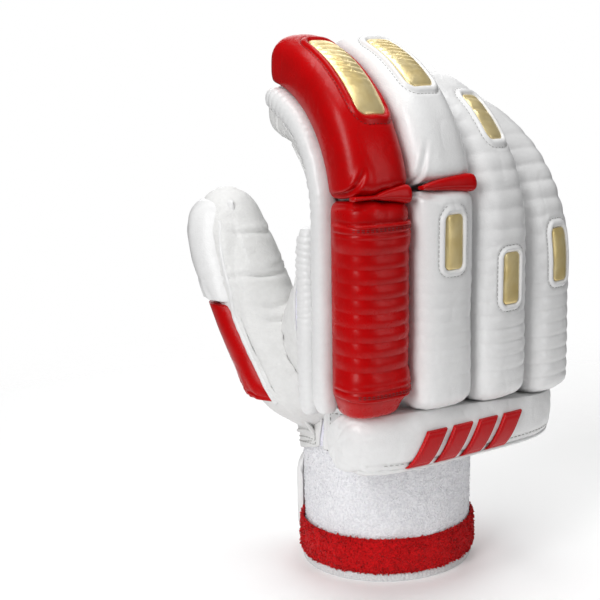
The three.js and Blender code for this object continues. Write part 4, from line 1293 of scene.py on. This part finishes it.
y = np.linspace(-44, -12, 66)[None]
foot = lower_edge(y) + 0.6 - 12 * smoothly(-y, 8, 26)
z = foot + (90 - foot) * np.linspace(0, 1, 44)[:, None]
panel_outer = on_hand(y + 0 * z, z, 2.0)
ruck = 0.5 * np.cos(panel_outer[..., 1] * 1.2 + 1.5 * swell(panel_outer, 7, 75)) * (1 - smoothly(z, 74, 84))
panel_outer[..., 0] += 1.3 * ruck + 0.8 * ridge(y + 14.5, 0.6)
panel_inner = on_hand(y + 0 * z, z, 0.5)
panel = np.concatenate([panel_outer, panel_inner[:, ::-1]], 1)
piece("side_panel", [skin(panel)], white_leather, ["side_panel"])
upright = np.linspace(68, 88, 40)
level = np.linspace(-42, -17, 50)
panel_seams = [
    stitches(on_hand(-16.5 + 0 * upright, upright, 2.3)),
    stitches(on_hand(level, 86 + 0 * level, 2.3)),
]
piece("side_panel_stitches", panel_seams, shaded_white_thread)

# The wrist bar is a thick foam roll in white leather across the back of the wrist, piped along
# its lower edge and gathered at its ends, with slanted red lozenges embroidered on its face.
bar_side, bar_behind, bar_level = 2, -57.5, 80.5  # the middle of the bar
bar_long, bar_thick, bar_tall = 65, 10, 14.5  # half its length, thickness and height


def bar_size(share):
    """How full the bar is at a share of its half length, and how far it wraps round the wrist."""
    edge = np.clip((np.abs(share) - 0.84) / 0.16, 0, 1)
    return 0.5 + 0.5 * np.sqrt(np.maximum(1 - edge ** 2.8, 0)), 15 * np.abs(share) ** 5


def bar_face(x, z):
    """How far forward the bar's face stands at a place."""
    size, wrap = bar_size((x - bar_side) / bar_long)
    off = np.clip(np.abs(z - bar_level) / (bar_tall * size), 0, 1)
    return bar_behind + wrap - bar_thick * size * (1 - off ** 2.5) ** (1 / 2.5)


share = spread(240)[:, None]
a = circle(100)[None]
size, wrap = bar_size(share)
bar = np.stack(np.broadcast_arrays(
    bar_side + share * bar_long,
    bar_behind + wrap + bar_thick * size * blunted(np.cos(a), 0.8),
    bar_level + bar_tall * size * blunted(np.sin(a), 0.8),
), -1)
lift = 0.35 * swell(bar, 16, 81) + 0.12 * swell(bar, 5, 82)
lift = lift - 0.15 * ridge(swell(bar, 9, 86), 0.12)
ends = smoothly(np.abs(share), 0.74, 0.95)
lift = lift + 0.3 * ends * (np.abs(np.cos(a * 5 + 2.2 * swell(bar, 11, 83))) ** 0.7 - 0.7)
lower = ridge(a - 1.5 * np.pi, 0.55) * smoothly(-share, 0.55, 0.9)
lift = lift + 0.9 * lower * np.cos(share * bar_long * 0.8 + 1.5 * swell(bar, 8, 84))
lift = lift - 0.7 * ridge(bar[..., 2] - bar_level + 9.5, 0.8) * (bar[..., 1] < -57)
bar = bar + outward(bar) * lift[..., None]
roof = np.interp(bar[..., 0], [-51, -17, 17, 51], [94.6, 93.6, 91.8, 88.9])
bar[..., 2] = np.where(bar[..., 1] > -70, np.minimum(bar[..., 2], roof), bar[..., 2])
piece("wrist_bar", [skin(bar)], white_leather, ["wrist_bar"])
x = np.linspace(-59, 62, 150)
z = bar_level - 12.9 * bar_size((x - bar_side) / bar_long)[0]
bar_edge = np.stack([x, bar_face(x, z) - 0.2, z], -1)
piece("wrist_bar_piping", [piping(eased(bar_edge, 3), 1.0)], white_leather)
x = np.linspace(-50, 56, 150)
sewn = np.stack([x, bar_face(x, bar_level - 9.5) - 0.05, np.full(150, bar_level - 9.2)], -1)
piece("wrist_bar_stitches", [stitches(sewn)], shaded_white_thread)

silk = Finish("red_embroidery")
weave = {"Vector": silk.spot, "Scale": 420, "Distortion": 1.5}
strands = silk.node("ShaderNodeTexWave", {"bands_direction": "X"}, weave)
silk_finish = silk.done(
    Base_Color=silk.mixed(strands, (0.42, 0.002, 0.004), (0.56, 0.003, 0.006)),
    Roughness=0.34, Normal=silk.raised(strands, 0.3, 0.0004), Specular_IOR_Level=0.25,
)
grid_a, grid_b = np.meshgrid(spread(30), spread(40))
for k in range(4):
    x = -4 + (k - 1.5) * 16 + grid_a * 5.75 + grid_b * 5
    z = 77 + grid_b * 8.5
    rim = np.maximum(np.abs(grid_a), np.abs(grid_b))
    puff = 1.9 * (1 - rim ** 14) ** 0.5 - 0.25 * ridge(rim - 0.78, 0.05)
    face = np.stack([x, bar_face(x, z) - 0.3 - puff, z], -1)
    under = np.stack([x, bar_face(x, z) + 0.5, z], -1)
    name = f"bar_lozenge_{k + 1}"
    lozenge = [skin(face, False, False), skin(under[::-1], False, False)]
    piece(name, lozenge, silk_finish, [name])

# A round patch of leather guards the ball of the thumb. It is cut to the edge of the palm, piped
# all round and sewn down twice.


def on_patch(share, turn, foot):
    """Points on the palm at a share of the patch's radius, kept above a foot and in from the side."""
    x = np.maximum(-25.5 + 31 * share * np.cos(turn), -55.5)
    z = np.maximum(100 + 37 * share * np.sin(turn), foot)
    width, middle, depth, square = hand_section(z)
    off = np.clip(np.abs(x) / width, 0, 1)
    return np.stack(np.broadcast_arrays(x, middle + depth * (1 - off ** square) ** (1 / square), z), -1)


radius = np.concatenate([[1.0], np.linspace(1, 0.02, 48)])[:, None]
patch = on_patch(radius, circle(132)[None], lower_edge(32))
height = np.where(np.arange(49)[:, None] == 0, 0.2, 2.0 - 1.2 * smoothly(radius, 0.95, 1.0))
patch[..., 1] += height + 0.3 * swell(patch, 10, 91)
piece("palm_patch", [skin(patch)], palm_hide, ["palm_patch"])


def patch_ring(share, lift):
    """A line round the patch, lifted off the palm."""
    return on_patch(share, np.linspace(0, 2 * np.pi, 200), 56) + [0, lift, 0]


piece("palm_patch_piping", [piping(eased(patch_ring(1.0, 1.0), 2), 1.0)], palm_hide)
patch_seams = [stitches(laid(patch_ring(share, 0.5), 0.2)) for share in (1.07, 1.13)]
piece("palm_patch_stitches", patch_seams, shaded_white_thread)

# A strap of white leather with a rounded, stitched tab closes the cuff over the towelling. Its
# border is pressed into a low rim beside the stitches.
strap_level, strap_out = 27.5, 5.0
turn = np.radians(np.linspace(12, 130, 150))[:, None]
away = np.minimum((turn[-1] - turn) * wide, (turn - turn[0]) * wide)
half = 21.5 - 8 * (1 - np.sqrt(np.maximum(1 - (1 - np.clip(away / 8, 0, 1)) ** 2, 0)))
across = spread(40)[None]
thick = 2.6 * (1 - np.abs(across) ** 10) ** 0.5 * np.clip(away / 1.2, 0, 1) ** 0.5
strap_z = strap_level + half * across
in_edge = half - np.abs(strap_z - strap_level)
trough = 0.45 * ridge(in_edge - 3.2, 0.6) * (away > 3)
trough = trough + 0.45 * ridge(away - 3.2, 0.6)
strap_face = round_cuff(turn, 2.5 + thick - trough, strap_z)
rim = 0.7 * ridge(np.minimum(in_edge, away) - 1.4, 0.9)
strap_face += (0.18 * swell(strap_face, 12, 95) + rim)[..., None] * outward(strap_face, False)
strap_back = round_cuff(turn, 2.4, strap_z)
strap = np.concatenate([strap_face, strap_back[:, ::-1]], 1)
piece("wrist_strap", [skin(strap)], white_leather, ["wrist_strap"])
run = np.radians(np.linspace(17, 125.5, 120))
border = [stitches(round_cuff(run, strap_out, strap_level + off)) for off in (-18.2, 18.2)]
rise = strap_level + np.linspace(-17, 17, 40)
border.append(stitches(round_cuff(np.radians(125.7), strap_out, rise)))
piece("wrist_strap_stitches", border, shaded_white_thread)

size = {"cad": [list(corner) for corner in cad_box], "visual": [list(corner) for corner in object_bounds()]}
